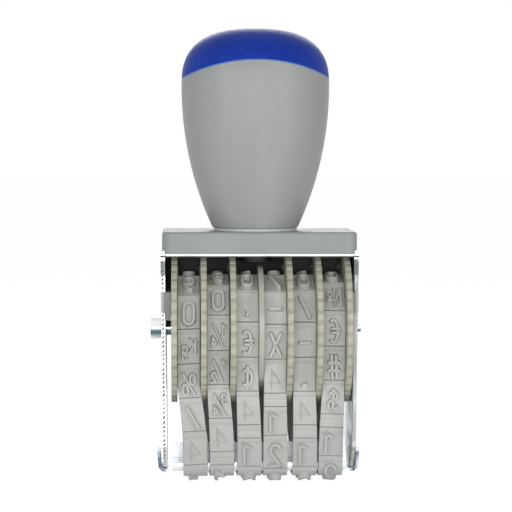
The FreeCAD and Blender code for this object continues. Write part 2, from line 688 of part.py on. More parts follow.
def make_handle():
    """The hollow grey bulb with its screw boss, and the domed cap whose lip plugs into it."""
    base = Vector(0, 0, handle_bottom.number)
    shell = bulb(0).cut(bulb(size.handle_wall.number))
    boss_height = size.insert_length.number + size.handle_wall.number
    boss = Part.makeCylinder(size.boss_radius.number, boss_height, base)
    bore = Part.makeCylinder(size.insert_radius.number, size.insert_length.number, base)
    sleeve = Part.makeCylinder(size.insert_radius.number - size.insert_groove_depth.number,
                               size.insert_length.number, base)
    groove_low = (size.insert_length.number - size.insert_groove_width.number) / 2
    groove = Part.makeCylinder(size.insert_radius.number, size.insert_groove_width.number,
                               base + Vector(0, 0, groove_low)).cut(sleeve)
    lower = shell.common(seam_cylinder(0)).fuse(boss).cut(bore.cut(groove)).removeSplitter()
    lip_radius = size.handle_max_radius.number - size.handle_wall.number - size.lip_gap.number
    seam_side = seam_cylinder(0).BoundBox.ZMax - size.seam_radius.number
    seam_low = seam_side + math.sqrt(size.seam_radius.number ** 2 - size.handle_max_radius.number ** 2)
    lip_foot = Vector(0, 0, seam_low - size.cap_lip_depth.number)
    lip_height = size.cap_lip_depth.number * 2 + size.handle_wall.number
    lip = Part.makeCylinder(lip_radius, lip_height, lip_foot)
    lip = lip.cut(Part.makeCylinder(lip_radius - size.cap_lip_wall.number, lip_height, lip_foot))
    plug = lip.common(bulb(size.handle_wall.number + size.lip_gap.number))
    upper = shell.fuse(lip).cut(seam_cylinder(size.seam_gap.number)).fuse(plug).removeSplitter()
    for label, shape in (("handle_body", lower), ("handle_cap", upper)):
        shape.translate(Vector(handle_centre.number, 0, 0))
        keep_shape(label, shape.Solids[0] if len(shape.Solids) == 1 else shape)


class Loop:
    """The path of a band's outer face in the YZ plane, from the middle of the nose up the front."""

    def __init__(self, top_radius, corner_radius):
        self.top_radius = top_radius
        self.corner_radius = corner_radius
        nose_radius = size.bar_bend_radius.number + size.band_thickness.number
        self.axle = size.axle_height.number
        self.corner_y = size.bar_depth.number / 2 - size.bar_bend_radius.number
        self.corner_z = size.type_relief.number + nose_radius
        rise = self.axle - self.corner_z
        span = math.hypot(rise, self.corner_y)
        narrowing = top_radius - corner_radius
        self.lean = math.asin(narrowing / span) - math.atan2(self.corner_y, rise)
        self.run = math.sqrt(span ** 2 - narrowing ** 2)
        self.corner = corner_radius * (math.pi / 2 - self.lean)
        self.over = top_radius * (math.pi + 2 * self.lean)
        self.run_start = self.corner_y + self.corner
        self.run_end = self.run_start + self.run
        self.length = 2 * self.run_end + self.over

    def at(self, distance):
        """Point and outward direction at a distance round the loop."""
        distance = distance % self.length
        if distance > self.length / 2:
            point, out = self.at(self.length - distance)
            return Vector(0, -point.y, point.z), Vector(0, -out.y, out.z)
        if distance <= self.corner_y:
            return Vector(0, -distance, self.corner_z - self.corner_radius), Vector(0, 0, -1)
        if distance <= self.run_start:
            turn = (distance - self.corner_y) / self.corner_radius
            out = Vector(0, -math.sin(turn), -math.cos(turn))
            return Vector(0, -self.corner_y, self.corner_z) + out * self.corner_radius, out
        out = Vector(0, -math.cos(self.lean), -math.sin(self.lean))
        if distance <= self.run_end:
            up = Vector(0, -math.sin(self.lean), math.cos(self.lean))
            start = Vector(0, -self.corner_y, self.corner_z) + out * self.corner_radius
            return start + up * (distance - self.run_start), out
        turn = (distance - self.run_end) / self.top_radius - self.lean
        out = Vector(0, -math.cos(turn), math.sin(turn))
        return Vector(0, 0, self.axle) + out * self.top_radius, out

    def is_straight(self, distance):
        """Whether a place is above the nose's bent corners."""
        distance = distance % self.length
        return self.run_start <= distance <= self.length - self.run_start

    def nose_edges(self):
        """Edges round the nose, from the back run's foot to the front run's foot."""
        stops = [-self.run_start, -(self.corner_y + self.run_start) / 2, -self.corner_y]
        back = [self.at(stop)[0] for stop in stops]
        front = [Vector(0, -point.y, point.z) for point in reversed(back)]
        return [Part.Arc(*back).toShape(), Part.LineSegment(back[-1], front[0]).toShape(),
                Part.Arc(*front).toShape()]


def polyline(points):
    return [Part.LineSegment(here, there).toShape() for here, there in zip(points, points[1:])]


def offset_face(wire, distance):
    """The face inside a wire's offset, less any hole that the offset leaves."""
    rings = sorted(wire.makeOffset2D(distance, 0, False, False).Wires, key=lambda ring: -ring.Length)
    face = Part.Face(rings[0])
    for ring in rings[1:]:
        face = face.cut(Part.Face(ring))
    return face


def stroke_face(points, width):
    """The flat face of one round-ended stroke through points of the XY plane."""
    if len(points) > 2:
        wire = Part.makePolygon(points)
        outside = offset_face(wire, width / 2)
        if wire.isClosed():
            return outside.cut(offset_face(wire, -width / 2))
        return outside
    start, finish = points
    along = (finish - start).normalize() * (width / 2)
    across = Vector(-along.y, along.x, 0)
    return Part.Face(Part.Wire([
        Part.LineSegment(start + across, finish + across).toShape(),
        Part.Arc(finish + across, finish + along, finish - across).toShape(),
        Part.LineSegment(finish - across, start - across).toShape(),
        Part.Arc(start - across, start - along, start + across).toShape()]))


def glyph(name):
    """A mirrored character standing on the XY plane about its cell's middle."""
    width, stroke, relief = size.type_width.number, size.type_stroke.number, size.type_relief.number
    if name in FINE_GLYPHS:
        width, stroke = size.wide_type_width.number, size.fine_stroke.number
    if name == "thin":
        stroke, relief = size.thin_stroke.number, size.thin_relief.number
    height = size.type_height.number
    sunk = size.weld_depth.number
    solids = []
    for shares in GLYPH_SHARES[name]:
        points = [Vector((0.5 - x) * width, (y - 0.5) * height, -sunk) for x, y in shares]
        face = stroke_face(points, stroke)
        solids.append(face.extrude(Vector(0, 0, relief + sunk)))
    return solids


def on_cell(shapes, low, high, x):
    """Move shapes from the XY plane onto the flat cell between two points of the loop."""
    up = (high - low).normalize()
    across = Vector(1, 0, 0)
    out = across.cross(up)
    middle = (low + high) * 0.5
    matrix = FreeCAD.Matrix(across.x, up.x, out.x, x, across.y, up.y, out.y, middle.y,
                            across.z, up.z, out.z, middle.z, 0, 0, 0, 1)
    return [shape.transformGeometry(matrix) for shape in shapes]


def raised_patch(loop, start, finish, low_x, high_x, relief):
    """A raised patch that follows the loop between two distances round it."""
    places = [loop.at(start + (finish - start) * step / ARC_STEPS) for step in range(ARC_STEPS + 1)]
    top = [point + out * relief for point, out in places]
    bottom = [point - out * size.weld_depth.number for point, out in reversed(places)]
    ring = [Vector(low_x, point.y, point.z) for point in top + bottom]
    face = Part.Face(Part.makePolygon(ring + ring[:1]))
    return face.extrude(Vector(high_x - low_x, 0, 0))


def band_lines(loop, joint):
    """Upper lines of the cells, from the joint's upper line once round the loop."""
    ribs = (CELLS_PER_BAND - 1) * size.rib_width.number
    clear = (loop.length - ribs - size.joint_width.number) / CELLS_PER_BAND
    pitch = clear + size.rib_width.number
    lines = [joint + pitch * step for step in range(CELLS_PER_BAND)]
    return lines + [joint + loop.length - size.joint_width.number]


def band_blank(loop, lines, low_x):
    """The plain belt: flat between its cell lines outside, round and smooth inside."""
    inner_radius = drum_radius.number + size.drum_gap.number
    inside = Loop(inner_radius, size.bar_bend_radius.number)
    marks = sorted(line % loop.length for line in lines)
    marks = [mark for mark in marks if loop.run_start < mark < loop.length - loop.run_start]
    outer_points = [loop.at(mark)[0] for mark in [loop.run_start] + marks + [loop.length - loop.run_start]]
    outer = Part.Wire(loop.nose_edges() + polyline(outer_points))
    front, back = inside.at(inside.run_end)[0], inside.at(-inside.run_end)[0]
    over = Part.Arc(front, Vector(0, 0, inside.axle + inner_radius), back).toShape()
    inner = Part.Wire(inside.nose_edges() + polyline([inside.at(inside.run_start)[0], front]) + [over]
                      + polyline([back, inside.at(-inside.run_start)[0]]))
    blank = Part.Face(outer).cut(Part.Face(inner)).Faces[0]
    blank.translate(Vector(low_x, 0, 0))
    return blank.extrude(Vector(size.band_width.number, 0, 0))


def band_cell(loop, low, high, x, name):
    """The rib at a cell's upper end and the cell's raised character."""
    half = size.band_width.number / 2
    raised = []
    flat = loop.is_straight(low) and loop.is_straight(high)
    if not flat:
        width, height = size.type_width.number, size.type_height.number
        foot = (low + high - size.rib_width.number - height) / 2
        for low_x, low_y, high_x, high_y in BAR_SHARES.get(name, []):
            raised.append(raised_patch(loop, foot + low_y * height, foot + high_y * height,
                                       x + (0.5 - high_x) * width, x + (0.5 - low_x) * width,
                                       size.type_relief.number))
        raised.append(raised_patch(loop, high - size.rib_width.number, high, x - half, x + half,
                                   size.rib_relief.number))
        return raised
    low_point, high_point = loop.at(low)[0], loop.at(high)[0]
    along = (high_point - low_point).normalize()
    clear_point = high_point - along * size.rib_width.number
    raised += on_cell(glyph(name), low_point, clear_point, x)
    sunk = size.weld_depth.number
    rib = Part.makeBox(half * 2, size.rib_width.number, size.rib_relief.number + sunk,
                       Vector(-half, -size.rib_width.number / 2, -sunk))
    raised += on_cell([rib], clear_point, high_point, x)
    return raised


def make_band(number):
    """One rubber band, held as the envelope of its path round the drum and the nose bar."""
    side = -1 if number <= WHEELS_PER_SIDE else 1
    steps = WHEELS_PER_SIDE - number if side < 0 else number - WHEELS_PER_SIDE - 1
    reach = size.disc_thickness.number / 2 + wheel_pitch.number * steps + size.side_gap.number
    x = size.stack_shift.number + side * (reach + size.band_width.number / 2)
    loop = Loop(size.band_top_radius.number, size.bar_bend_radius.number + size.band_thickness.number)
    lines = band_lines(loop, JOINT_PLACE_SHARES[number - 1] * loop.length)
    names = list(BAND_SIGNS[number - 1]) + list(DIGITS_GOING_UP)
    raised = []
    for low, high, name in zip(lines, lines[1:], names):
        raised += band_cell(loop, low, high, x, name)
    joint_low = lines[-1] - loop.length
    half = size.band_width.number / 2
    raised.append(raised_patch(loop, joint_low, lines[0], x - half, x + half, size.rib_relief.number))
    blank = band_blank(loop, lines, x - half)
    keep_shape(f"band_{number}", blank.multiFuse(raised).removeSplitter())


make_frame()
make_cover()
make_guide("left_cheek", -1, side_room + size.stack_shift)
make_guide("right_cheek", 1, side_room - size.stack_shift)
make_axle()
for wheel_number in range(1, 2 * WHEELS_PER_SIDE + 1):
    make_wheel(wheel_number)
make_disc()
make_nose_bar()
make_seat_washer()
make_spring_washer()
make_screw()
make_insert()
make_handle()
for band_number in range(1, 2 * WHEELS_PER_SIDE + 1):
    make_band(band_number)
doc.recompute()

for item in doc.Objects:
    if {"Invalid", "Error"} & set(item.State):
        raise RuntimeError(f"{item.Label} is {item.State}")
for piece in parts:
    if piece.Shape.isNull() or not piece.Shape.isValid():
        raise RuntimeError(f"{piece.Label} has a bad shape")
    if len(piece.Shape.Solids) != 1:
        raise RuntimeError(f"{piece.Label} is not one solid")

os.makedirs("parts", exist_ok=True)
for piece in parts:
    piece.Shape.exportStep(f"parts/{piece.Label}.step")
    box = piece.Shape.BoundBox
    print(f"{piece.Label:14s} volume {piece.Shape.Volume:9.2f}  x {box.XMin:7.2f} {box.XMax:7.2f}"
          f"  y {box.YMin:7.2f} {box.YMax:7.2f}  z {box.ZMin:7.2f} {box.ZMax:7.2f}")
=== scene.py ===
import json
import math

import bmesh
import bpy
from mathutils import Matrix, Vector, noise


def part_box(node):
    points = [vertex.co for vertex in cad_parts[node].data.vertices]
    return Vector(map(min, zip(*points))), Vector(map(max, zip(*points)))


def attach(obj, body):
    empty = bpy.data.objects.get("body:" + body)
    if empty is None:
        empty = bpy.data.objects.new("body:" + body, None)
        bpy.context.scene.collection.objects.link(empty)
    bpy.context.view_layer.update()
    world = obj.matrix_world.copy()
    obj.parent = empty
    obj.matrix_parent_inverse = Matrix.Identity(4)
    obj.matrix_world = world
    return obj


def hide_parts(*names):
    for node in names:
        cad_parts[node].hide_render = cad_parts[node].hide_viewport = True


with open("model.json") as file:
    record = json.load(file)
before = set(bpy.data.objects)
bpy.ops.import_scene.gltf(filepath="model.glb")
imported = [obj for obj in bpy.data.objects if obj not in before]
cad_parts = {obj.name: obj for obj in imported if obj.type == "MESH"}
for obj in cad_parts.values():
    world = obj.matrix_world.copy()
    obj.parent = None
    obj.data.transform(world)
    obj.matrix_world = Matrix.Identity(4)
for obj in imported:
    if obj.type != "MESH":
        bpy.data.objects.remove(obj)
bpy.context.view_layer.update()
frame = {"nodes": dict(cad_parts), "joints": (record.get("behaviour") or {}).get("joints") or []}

# Steel frame: a strip of plated sheet bent into an upside-down U, whose side plates taper to feet.
# The press leaves its sheared edges rough, with slanting teeth along them, whose bright and dark tones are painted
# reflections.
MM = 0.001
PLATE_THICKNESS = 0.9
EDGE_TOP = 45.9
TAPER_TOP = 7.85
FOOT_HALF_WIDTH = 3.3
EDGE_STEP = 0.15
EDGE_COLUMNS = 6
SHEAR_PITCH = 0.82
SHEAR_RELIEF = 0.05
NICK_PITCHES = {-1: 0.9, 1: 0.6}
NICK_SLANT = 0.85
STRIP_THICKNESS = 0.03
GUIDE_LUG_LOW, GUIDE_LUG_HIGH = 35.1, 39.2
PLATE_LEAN = 0.5
WEB_BURR = 0.42


def linear(red, green, blue):
    """A colour measured as 0 to 255 on screen, as the shader takes it."""
    shares = [value / 255 for value in (red, green, blue)]
    return [share / 12.92 if share <= 0.04045 else ((share + 0.055) / 1.055) ** 2.4 for share in shares]


def new_surface(name, colour, roughness, metallic=0.0):
    """A material whose even values are set on the shader's own sockets."""
    material = bpy.data.materials.new(name)
    material.use_nodes = True
    shader = material.node_tree.nodes["Principled BSDF"]
    shader.inputs["Base Color"].default_value = (*linear(*colour), 1)
    shader.inputs["Roughness"].default_value = roughness
    shader.inputs["Metallic"].default_value = metallic
    return material, material.node_tree, shader


def place_on(tree):
    """Where a point lies on the piece, one output for each axis."""
    place = tree.nodes.new("ShaderNodeTexCoord")
    split = tree.nodes.new("ShaderNodeSeparateXYZ")
    tree.links.new(place.outputs["Object"], split.inputs["Vector"])
    return split.outputs


def worked(tree, operation, *values):
    """The result of one operation on sockets and plain numbers."""
    node = tree.nodes.new("ShaderNodeMath")
    node.operation = operation
    for socket, value in zip(node.inputs, values):
        if isinstance(value, (int, float)):
            socket.default_value = value
        else:
            tree.links.new(value, socket)
    return node.outputs["Value"]


def tinted(tree, colour, tint):
    """One colour multiplied by another."""
    node = tree.nodes.new("ShaderNodeMix")
    node.data_type = "RGBA"
    node.blend_type = "MULTIPLY"
    node.inputs["Factor"].default_value = 1.0
    tree.links.new(colour, node.inputs[6])
    tree.links.new(tint, node.inputs[7])
    return node.outputs[2]


def grain(tree, scale, stretch=(1, 1, 1), detail=4.0, distortion=0.0):
    """Fine noise fixed to the piece, drawn out along an axis where stretch is small."""
    place = tree.nodes.new("ShaderNodeTexCoord")
    mapping = tree.nodes.new("ShaderNodeMapping")
    mapping.inputs["Scale"].default_value = stretch
    texture = tree.nodes.new("ShaderNodeTexNoise")
    texture.inputs["Scale"].default_value = scale
    texture.inputs["Detail"].default_value = detail
    texture.inputs["Distortion"].default_value = distortion
    tree.links.new(place.outputs["Object"], mapping.inputs["Vector"])
    tree.links.new(mapping.outputs["Vector"], texture.inputs["Vector"])
    return texture.outputs["Fac"]


def ramp(tree, value, stops):
    """Turn a value into colours, one for each stop."""
    node = tree.nodes.new("ShaderNodeValToRGB")
    while len(node.color_ramp.elements) < len(stops):
        node.color_ramp.elements.new(0.5)
    for element, (position, colour) in zip(node.color_ramp.elements, stops):
        element.position = position
        element.color = (*linear(*colour), 1)
    tree.links.new(value, node.inputs["Fac"])
    return node.outputs["Color"]


def spread(tree, value, low, high, start=0.3, stop=0.7):
    """Spread a value between two limits."""
    node = tree.nodes.new("ShaderNodeMapRange")
    node.inputs["From Min"].default_value = start
    node.inputs["From Max"].default_value = stop
    node.inputs["To Min"].default_value = low
    node.inputs["To Max"].default_value = high
    tree.links.new(value, node.inputs["Value"])
    return node.outputs["Result"]


def dent(tree, shader, height, strength, depth):
    """Give the shader fine bumps from a height."""
    node = tree.nodes.new("ShaderNodeBump")
    node.inputs["Strength"].default_value = strength
    node.inputs["Distance"].default_value = depth * MM
    tree.links.new(height, node.inputs["Height"])
    tree.links.new(node.outputs["Normal"], shader.inputs["Normal"])


def blend_in(tree, shader, share, colour):
    """Lay another colour over the one that the shader has, by a share."""
    over = tree.nodes.new("ShaderNodeMix")
    over.data_type = "RGBA"
    tree.links.new(share, over.inputs["Factor"])
    tree.links.new(shader.inputs["Base Color"].links[0].from_socket, over.inputs[6])
    if isinstance(colour, tuple):
        over.inputs[7].default_value = (*linear(*colour), 1)
    else:
        tree.links.new(colour, over.inputs[7])
    tree.links.new(over.outputs[2], shader.inputs["Base Color"])


# Painted reflection on bright metal, set by how far a face turns from the view: white head-on, a bluish grey band,
# pale again, grey at the outline.
GRAZING_REFLECTION_TONES = [(0.0, (255, 255, 255)), (0.45, (246, 248, 252)), (0.62, (196, 206, 226)), (0.8, (238, 242, 248)),
             (1.0, (190, 198, 206))]


def plated_steel(name, dark, bright, roughness):
    """Bright plating over rolled sheet: long faint rolling marks and small scratches, with a painted reflection on
    faces turned from the view.
    """
    material, tree, shader = new_surface(name, bright, roughness, 1.0)
    rolling = grain(tree, 900, (6, 6, 0.25), 5.0)
    grazing_facing = tree.nodes.new("ShaderNodeLayerWeight")
    grazing_facing.inputs["Blend"].default_value = 0.5
    sheet = ramp(tree, rolling, [(0.3, dark), (0.7, bright)])
    rims = ramp(tree, grazing_facing.outputs["Facing"], GRAZING_REFLECTION_TONES)
    tree.links.new(tinted(tree, sheet, rims), shader.inputs["Base Color"])
    blotch = grain(tree, 240, (1, 1, 1), 3.0)
    tree.links.new(spread(tree, blotch, roughness * 0.7, roughness * 1.5), shader.inputs["Roughness"])
    dent(tree, shader, rolling, 0.25, 0.02)
    return material


def sheared_steel(name, least, most, nick_middle, nick_reach, edge_shade_tones):
    """The torn edge of the sheet: slanting nicks whose near-black and near-white tones are painted reflections,
    between rims painted grey as shade.
    """
    material, tree, shader = new_surface(name, (238, 240, 240), 0.42, 0.35)
    strip = tree.nodes.new("ShaderNodeUVMap")
    strip.uv_map = "strip"
    nicks = tree.nodes.new("ShaderNodeTexWave")
    nicks.bands_direction = "Y"
    nicks.inputs["Scale"].default_value = math.tau / 20
    nicks.inputs["Distortion"].default_value = 3.2
    nicks.inputs["Detail"].default_value = 1.5
    nicks.inputs["Detail Scale"].default_value = 1.6
    patches = tree.nodes.new("ShaderNodeTexNoise")
    patches.inputs["Scale"].default_value = 0.4
    across = tree.nodes.new("ShaderNodeSeparateXYZ")
    for node in (nicks, patches, across):
        tree.links.new(strip.outputs["UV"], node.inputs["Vector"])
    depth = worked(tree, "ADD", nicks.outputs["Fac"], spread(tree, patches.outputs["Fac"], least, most))
    off_line = worked(tree, "ABSOLUTE", worked(tree, "SUBTRACT", across.outputs["X"], nick_middle))
    shallow = spread(tree, off_line, 0, 0.7, nick_reach, nick_reach + 0.12)
    # Painted reflections of the sheared teeth: near black in the nicks, near white between them.
    nick_reflections = ramp(tree, worked(tree, "ADD", depth, shallow),
                  [(0.16, (14, 18, 19)), (0.3, (92, 99, 102)), (0.42, (206, 210, 212)), (0.6, (240, 242, 243))])
    # Painted shade: the strip turns greyer towards its two rims.
    rims = ramp(tree, across.outputs["X"], edge_shade_tones)
    tree.links.new(tinted(tree, nick_reflections, rims), shader.inputs["Base Color"])
    # A dark green patch just below the bend is a painted reflection of the curved corner.
    near_bend = spread(tree, place_on(tree)["Z"], 0, 1, (EDGE_TOP - 3.6) * MM, (EDGE_TOP - 0.2) * MM)
    bend_reflection = ramp(tree, near_bend,
                [(0.0, (0, 0, 0)), (0.16, (235, 235, 235)), (0.86, (235, 235, 235)), (1.0, (0, 0, 0))])
    blend_in(tree, shader, bend_reflection, (44, 62, 54))
    dent(tree, shader, depth, 0.4, 0.03)
    return material


def make_piece(bm, name, body, material, nodes=(), crease=35):
    """Turn a mesh drawn in millimetres into a piece that rides on a body."""
    bmesh.ops.scale(bm, vec=(MM, MM, MM), verts=bm.verts)
    for face in bm.faces:
        face.smooth = True
    for edge in bm.edges:
        edge.smooth = len(edge.link_faces) == 2 and edge.calc_face_angle(0) < math.radians(crease)
    mesh = bpy.data.meshes.new(name)
    bm.to_mesh(mesh)
    bm.free()
    mesh.materials.append(material)
    piece = bpy.data.objects.new(name, mesh)
    bpy.context.scene.collection.objects.link(piece)
    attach(piece, body)
    if nodes:
        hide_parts(*nodes)


def plate_lean(spot):
    """How far the side plates' lower ends have been squeezed inwards."""
    return math.copysign(PLATE_LEAN * max(EDGE_TOP - spot.z, 0) / EDGE_TOP, spot.x)


def copy_of(node):
    """A merged copy of a CAD piece's mesh, in millimetres."""
    bm = bmesh.new()
    bm.from_mesh(frame["nodes"][node].data)
    bmesh.ops.transform(bm, matrix=frame["nodes"][node].matrix_world, verts=bm.verts)
    bmesh.ops.scale(bm, vec=(1 / MM, 1 / MM, 1 / MM), verts=bm.verts)
    bmesh.ops.remove_doubles(bm, verts=bm.verts, dist=0.001)
    return bm


def box_mm(node):
    """A CAD piece's lowest and highest corners in millimetres."""
    low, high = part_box(node)
    return Vector(low) / MM, Vector(high) / MM


frame_low, frame_high = box_mm("frame")
web_low = frame_high.z - PLATE_THICKNESS
foot_bottom = frame_low.z
plate_edge_y = frame_high.y
plated = plated_steel("plated sheet", (188, 193, 198), (216, 220, 223), 0.24)
tree = plated.node_tree
place = place_on(tree)
# Painted shade: on the web's front face the plating gives way to tones that are dark at the lower edge and its
# burr, grading up to pale grey.
web_level = spread(tree, place["Z"], 0, 1, (web_low - WEB_BURR) * MM, frame_high.z * MM)
web_edge_shade = ramp(tree, web_level, [(0.0, (56, 58, 54)), (0.08, (74, 76, 74)), (0.2, (100, 102, 101)),
                                   (0.28, (165, 168, 170)), (0.36, (206, 210, 212))])
at_front = spread(tree, place["Y"], 0, 1, (-plate_edge_y + 0.12) * MM, (-plate_edge_y + 0.02) * MM)
above_burr = spread(tree, place["Z"], 0, 1, (web_low - WEB_BURR - 0.2) * MM, (web_low - WEB_BURR - 0.1) * MM)
blend_in(tree, tree.nodes["Principled BSDF"], worked(tree, "MULTIPLY", at_front, above_burr), web_edge_shade)
bm = copy_of("frame")
for vert in bm.verts:
    if vert.co.y < -plate_edge_y + 0.05 and abs(vert.co.z - web_low) < 0.05:
        vert.co.z -= WEB_BURR
    vert.co.x -= plate_lean(vert.co)
make_piece(bm, "bent_frame", "stamp", plated, ["frame"], crease=30)
# Tones across the sheared strips: painted shade along their rims, deeper along the right-hand plate's inner rim.
FAINT_EDGE_SHADE = [(0.0, (205, 208, 211)), (0.16, (250, 250, 250)), (0.86, (250, 250, 250)), (1.0, (190, 194, 198))]
DARK_INNER_EDGE_SHADE = [(0.0, (108, 113, 118)), (0.12, (150, 155, 160)), (0.24, (250, 250, 250)), (0.86, (250, 250, 250)),
                  (1.0, (196, 200, 204))]
sheared = {-1: sheared_steel("sheared steel, deep nicks", -0.22, 0.22, 0.6, 0.16, FAINT_EDGE_SHADE),
           1: sheared_steel("sheared steel, fine nicks", -0.3, 0.02, 0.5, 0.5, DARK_INNER_EDGE_SHADE)}
for side, side_name in ((-1, "left"), (1, "right")):
    for end, end_name in ((-1, "front"), (1, "back")):
        corners = [Vector((0, end * plate_edge_y, EDGE_TOP)), Vector((0, end * plate_edge_y, TAPER_TOP)),
                   Vector((0, end * FOOT_HALF_WIDTH, foot_bottom))]
        upper = (corners[1] - corners[0]).length
        lower = (corners[2] - corners[1]).length
        rows = round((upper + lower) / EDGE_STEP)
        bm = bmesh.new()
        bmesh.ops.create_grid(bm, x_segments=EDGE_COLUMNS, y_segments=rows, size=0.5)
        strip = bm.loops.layers.uv.new("strip")
        for face in bm.faces:
            for loop in face.loops:
                across, along = loop.vert.co.x + 0.5, (loop.vert.co.y + 0.5) * (upper + lower)
                slanting = along + side * NICK_SLANT * across
                loop[strip].uv = (across, slanting / NICK_PITCHES[side] + (3 + side + end) * 100)
        for vert in bm.verts:
            across, along = vert.co.x + 0.5, (vert.co.y + 0.5) * (upper + lower)
            if along <= upper:
                spot = corners[0].lerp(corners[1], along / upper)
                out = Vector((0, end, 0))
            else:
                spot = corners[1].lerp(corners[2], (along - upper) / lower)
                out = Vector((0, end * (TAPER_TOP - foot_bottom), FOOT_HALF_WIDTH - plate_edge_y)).normalized()
            spot.x = side * (frame_high.x - PLATE_THICKNESS * (1 - across))
            slant = spot.z / SHEAR_PITCH + side * across * 0.9
            tooth = abs(math.sin(math.pi * slant))
            rough = noise.noise(spot * 2.3) * 0.5 + noise.noise(spot * 6.1) * 0.4
            height = SHEAR_RELIEF * (0.25 + 0.6 * tooth + 0.5 * rough) * math.sin(math.pi * across) ** 0.35
            if GUIDE_LUG_LOW < spot.z < GUIDE_LUG_HIGH:
                height = 0
            spot.x -= plate_lean(spot)
            vert.co = spot + out * max(height, -0.01)
        bmesh.ops.recalc_face_normals(bm, faces=bm.faces)
        bmesh.ops.solidify(bm, geom=bm.faces[:], thickness=STRIP_THICKNESS)
        make_piece(bm, f"sheared_edge_{side_name}_{end_name}", "stamp", sheared[side], crease=80)

# Nose bar: a narrow channel of the same bright sheet that the bands run round.
# A rolled hook at each end cradles the foot of a side plate.
HOOK_FROM, HOOK_TO = 18.2, 19.0
HOOK_SLANT = 0.45
LIP_HEIGHT = 3.9
HALF_LIP = 0.3


def from_middle(tree):
    """How far a place is to either side of the stamp's middle."""
    return worked(tree, "ABSOLUTE", place_on(tree)["X"])


bar_steel = plated_steel("polished nose bar", (226, 229, 231), (244, 246, 247), 0.34)
tree = bar_steel.node_tree
shader = tree.nodes["Principled BSDF"]
shader.inputs["Metallic"].default_value = 0.85
# Painted shade on the rolled hooks: grey-blue streaks over the plating.
hook_shade_streaks = ramp(tree, grain(tree, 620, (1, 1, 0.6), 2.0, 0.5),
               [(0.36, (84, 95, 106)), (0.5, (130, 140, 148)), (0.64, (182, 189, 196))])
blend_in(tree, shader, spread(tree, from_middle(tree), 0, 1, HOOK_FROM * MM, HOOK_TO * MM), hook_shade_streaks)
# A thin bluish line painted along the bar at lip height is a painted reflection.
lip_level = spread(tree, place_on(tree)["Z"], 0, 1, (LIP_HEIGHT - HALF_LIP) * MM, (LIP_HEIGHT + HALF_LIP) * MM)
lip_reflection = ramp(tree, lip_level, [(0.0, (0, 0, 0)), (0.35, (0, 0, 0)), (0.5, (225, 225, 225)), (0.62, (0, 0, 0))])
blend_in(tree, shader, lip_reflection, (92, 116, 148))
bar_low, bar_high = box_mm("nose_bar")
bm = copy_of("nose_bar")
for vert in bm.verts:
    if abs(vert.co.x) > frame_high.x - 0.2:
        vert.co.x -= math.copysign(HOOK_SLANT * (bar_high.z - vert.co.z) / (bar_high.z - bar_low.z), vert.co.x)
make_piece(bm, "hooked_bar", "stamp", bar_steel, ["nose_bar"], crease=30)

# Axle: a turned and plated pin with a flat head, pressed through both plates.
# It carries the wheels, and its plain end stands a little out of the right-hand plate.
AXLE_LOW, AXLE_HIGH = 28.9, 33.5
PIN_TIP_SHARE = 0.6
axle_steel, tree, shader = new_surface("turned pin", (225, 228, 228), 0.16, 1.0)
# Painted reflections on the pin, by height: grey below, a dark teal band, then bright towards the top.
level = spread(tree, place_on(tree)["Z"], 0, 1, AXLE_LOW * MM, AXLE_HIGH * MM)
pin_reflection_tones = [(0.0, (206, 210, 214)), (0.14, (196, 201, 204)), (0.27, (104, 134, 138)), (0.36, (66, 98, 104)),
         (0.45, (140, 166, 170)), (0.56, (228, 233, 235)), (0.8, (244, 245, 247)), (1.0, (214, 206, 214))]
tree.links.new(ramp(tree, level, pin_reflection_tones), shader.inputs["Base Color"])
dent(tree, shader, grain(tree, 1200, (0.2, 2, 2), 3.0), 0.15, 0.01)
bm = copy_of("axle")
for cut in (frame_high.x - 0.3, frame_high.x - 0.2):
    bmesh.ops.bisect_plane(bm, geom=bm.verts[:] + bm.edges[:] + bm.faces[:], dist=1e-4,
                           plane_co=(cut, 0, 0), plane_no=(1, 0, 0))
axle_z = frame["joints"][0]["pos_m"][2] / MM
for vert in bm.verts:
    if vert.co.x > frame_high.x - 0.25:
        vert.co.y *= PIN_TIP_SHARE
        vert.co.z = axle_z + (vert.co.z - axle_z) * PIN_TIP_SHARE
make_piece(bm, "headed_pin", "stamp", axle_steel, ["axle"], crease=30)


# Cover: a shallow cap of grey moulded plastic on top of the steel frame.
# The mould gives it a satin face with faint upright flow marks and a few dust specks.
def moulded_plastic(name, dark, bright, roughness, flow, gloss=0.5, speck_tone=(150, 150, 148)):
    """Satin plastic: upright flow marks, a fine skin and scattered specks."""
    material, tree, shader = new_surface(name, bright, roughness)
    shader.inputs["Specular IOR Level"].default_value = gloss
    marks = grain(tree, flow, (1, 1, 0.12), 3.0)
    speck = grain(tree, 2600, (1, 1, 1), 1.0)
    flowed = ramp(tree, marks, [(0.3, dark), (0.7, bright)])
    specks = ramp(tree, speck, [(0.19, speck_tone), (0.24, (255, 255, 255))])
    tree.links.new(tinted(tree, flowed, specks), shader.inputs["Base Color"])
    skin = grain(tree, 5200, (1, 1, 1), 2.0)
    tree.links.new(spread(tree, marks, roughness * 0.9, roughness * 1.15), shader.inputs["Roughness"])
    dent(tree, shader, skin, 0.12, 0.02)
    return material


NOTCH_GAP = 0.25
NOTCH_TIGHT = 0.02
SKIRT_EXTRA = 0.22
APRON_LOW = 39.22
RIM_THICKNESS = 1.2
WHEELS = 6
cover_plastic = moulded_plastic("grey cover plastic", (143, 147, 146), (154, 158, 157), 0.45, 160, 0.25)
tree = cover_plastic.node_tree
place = place_on(tree)
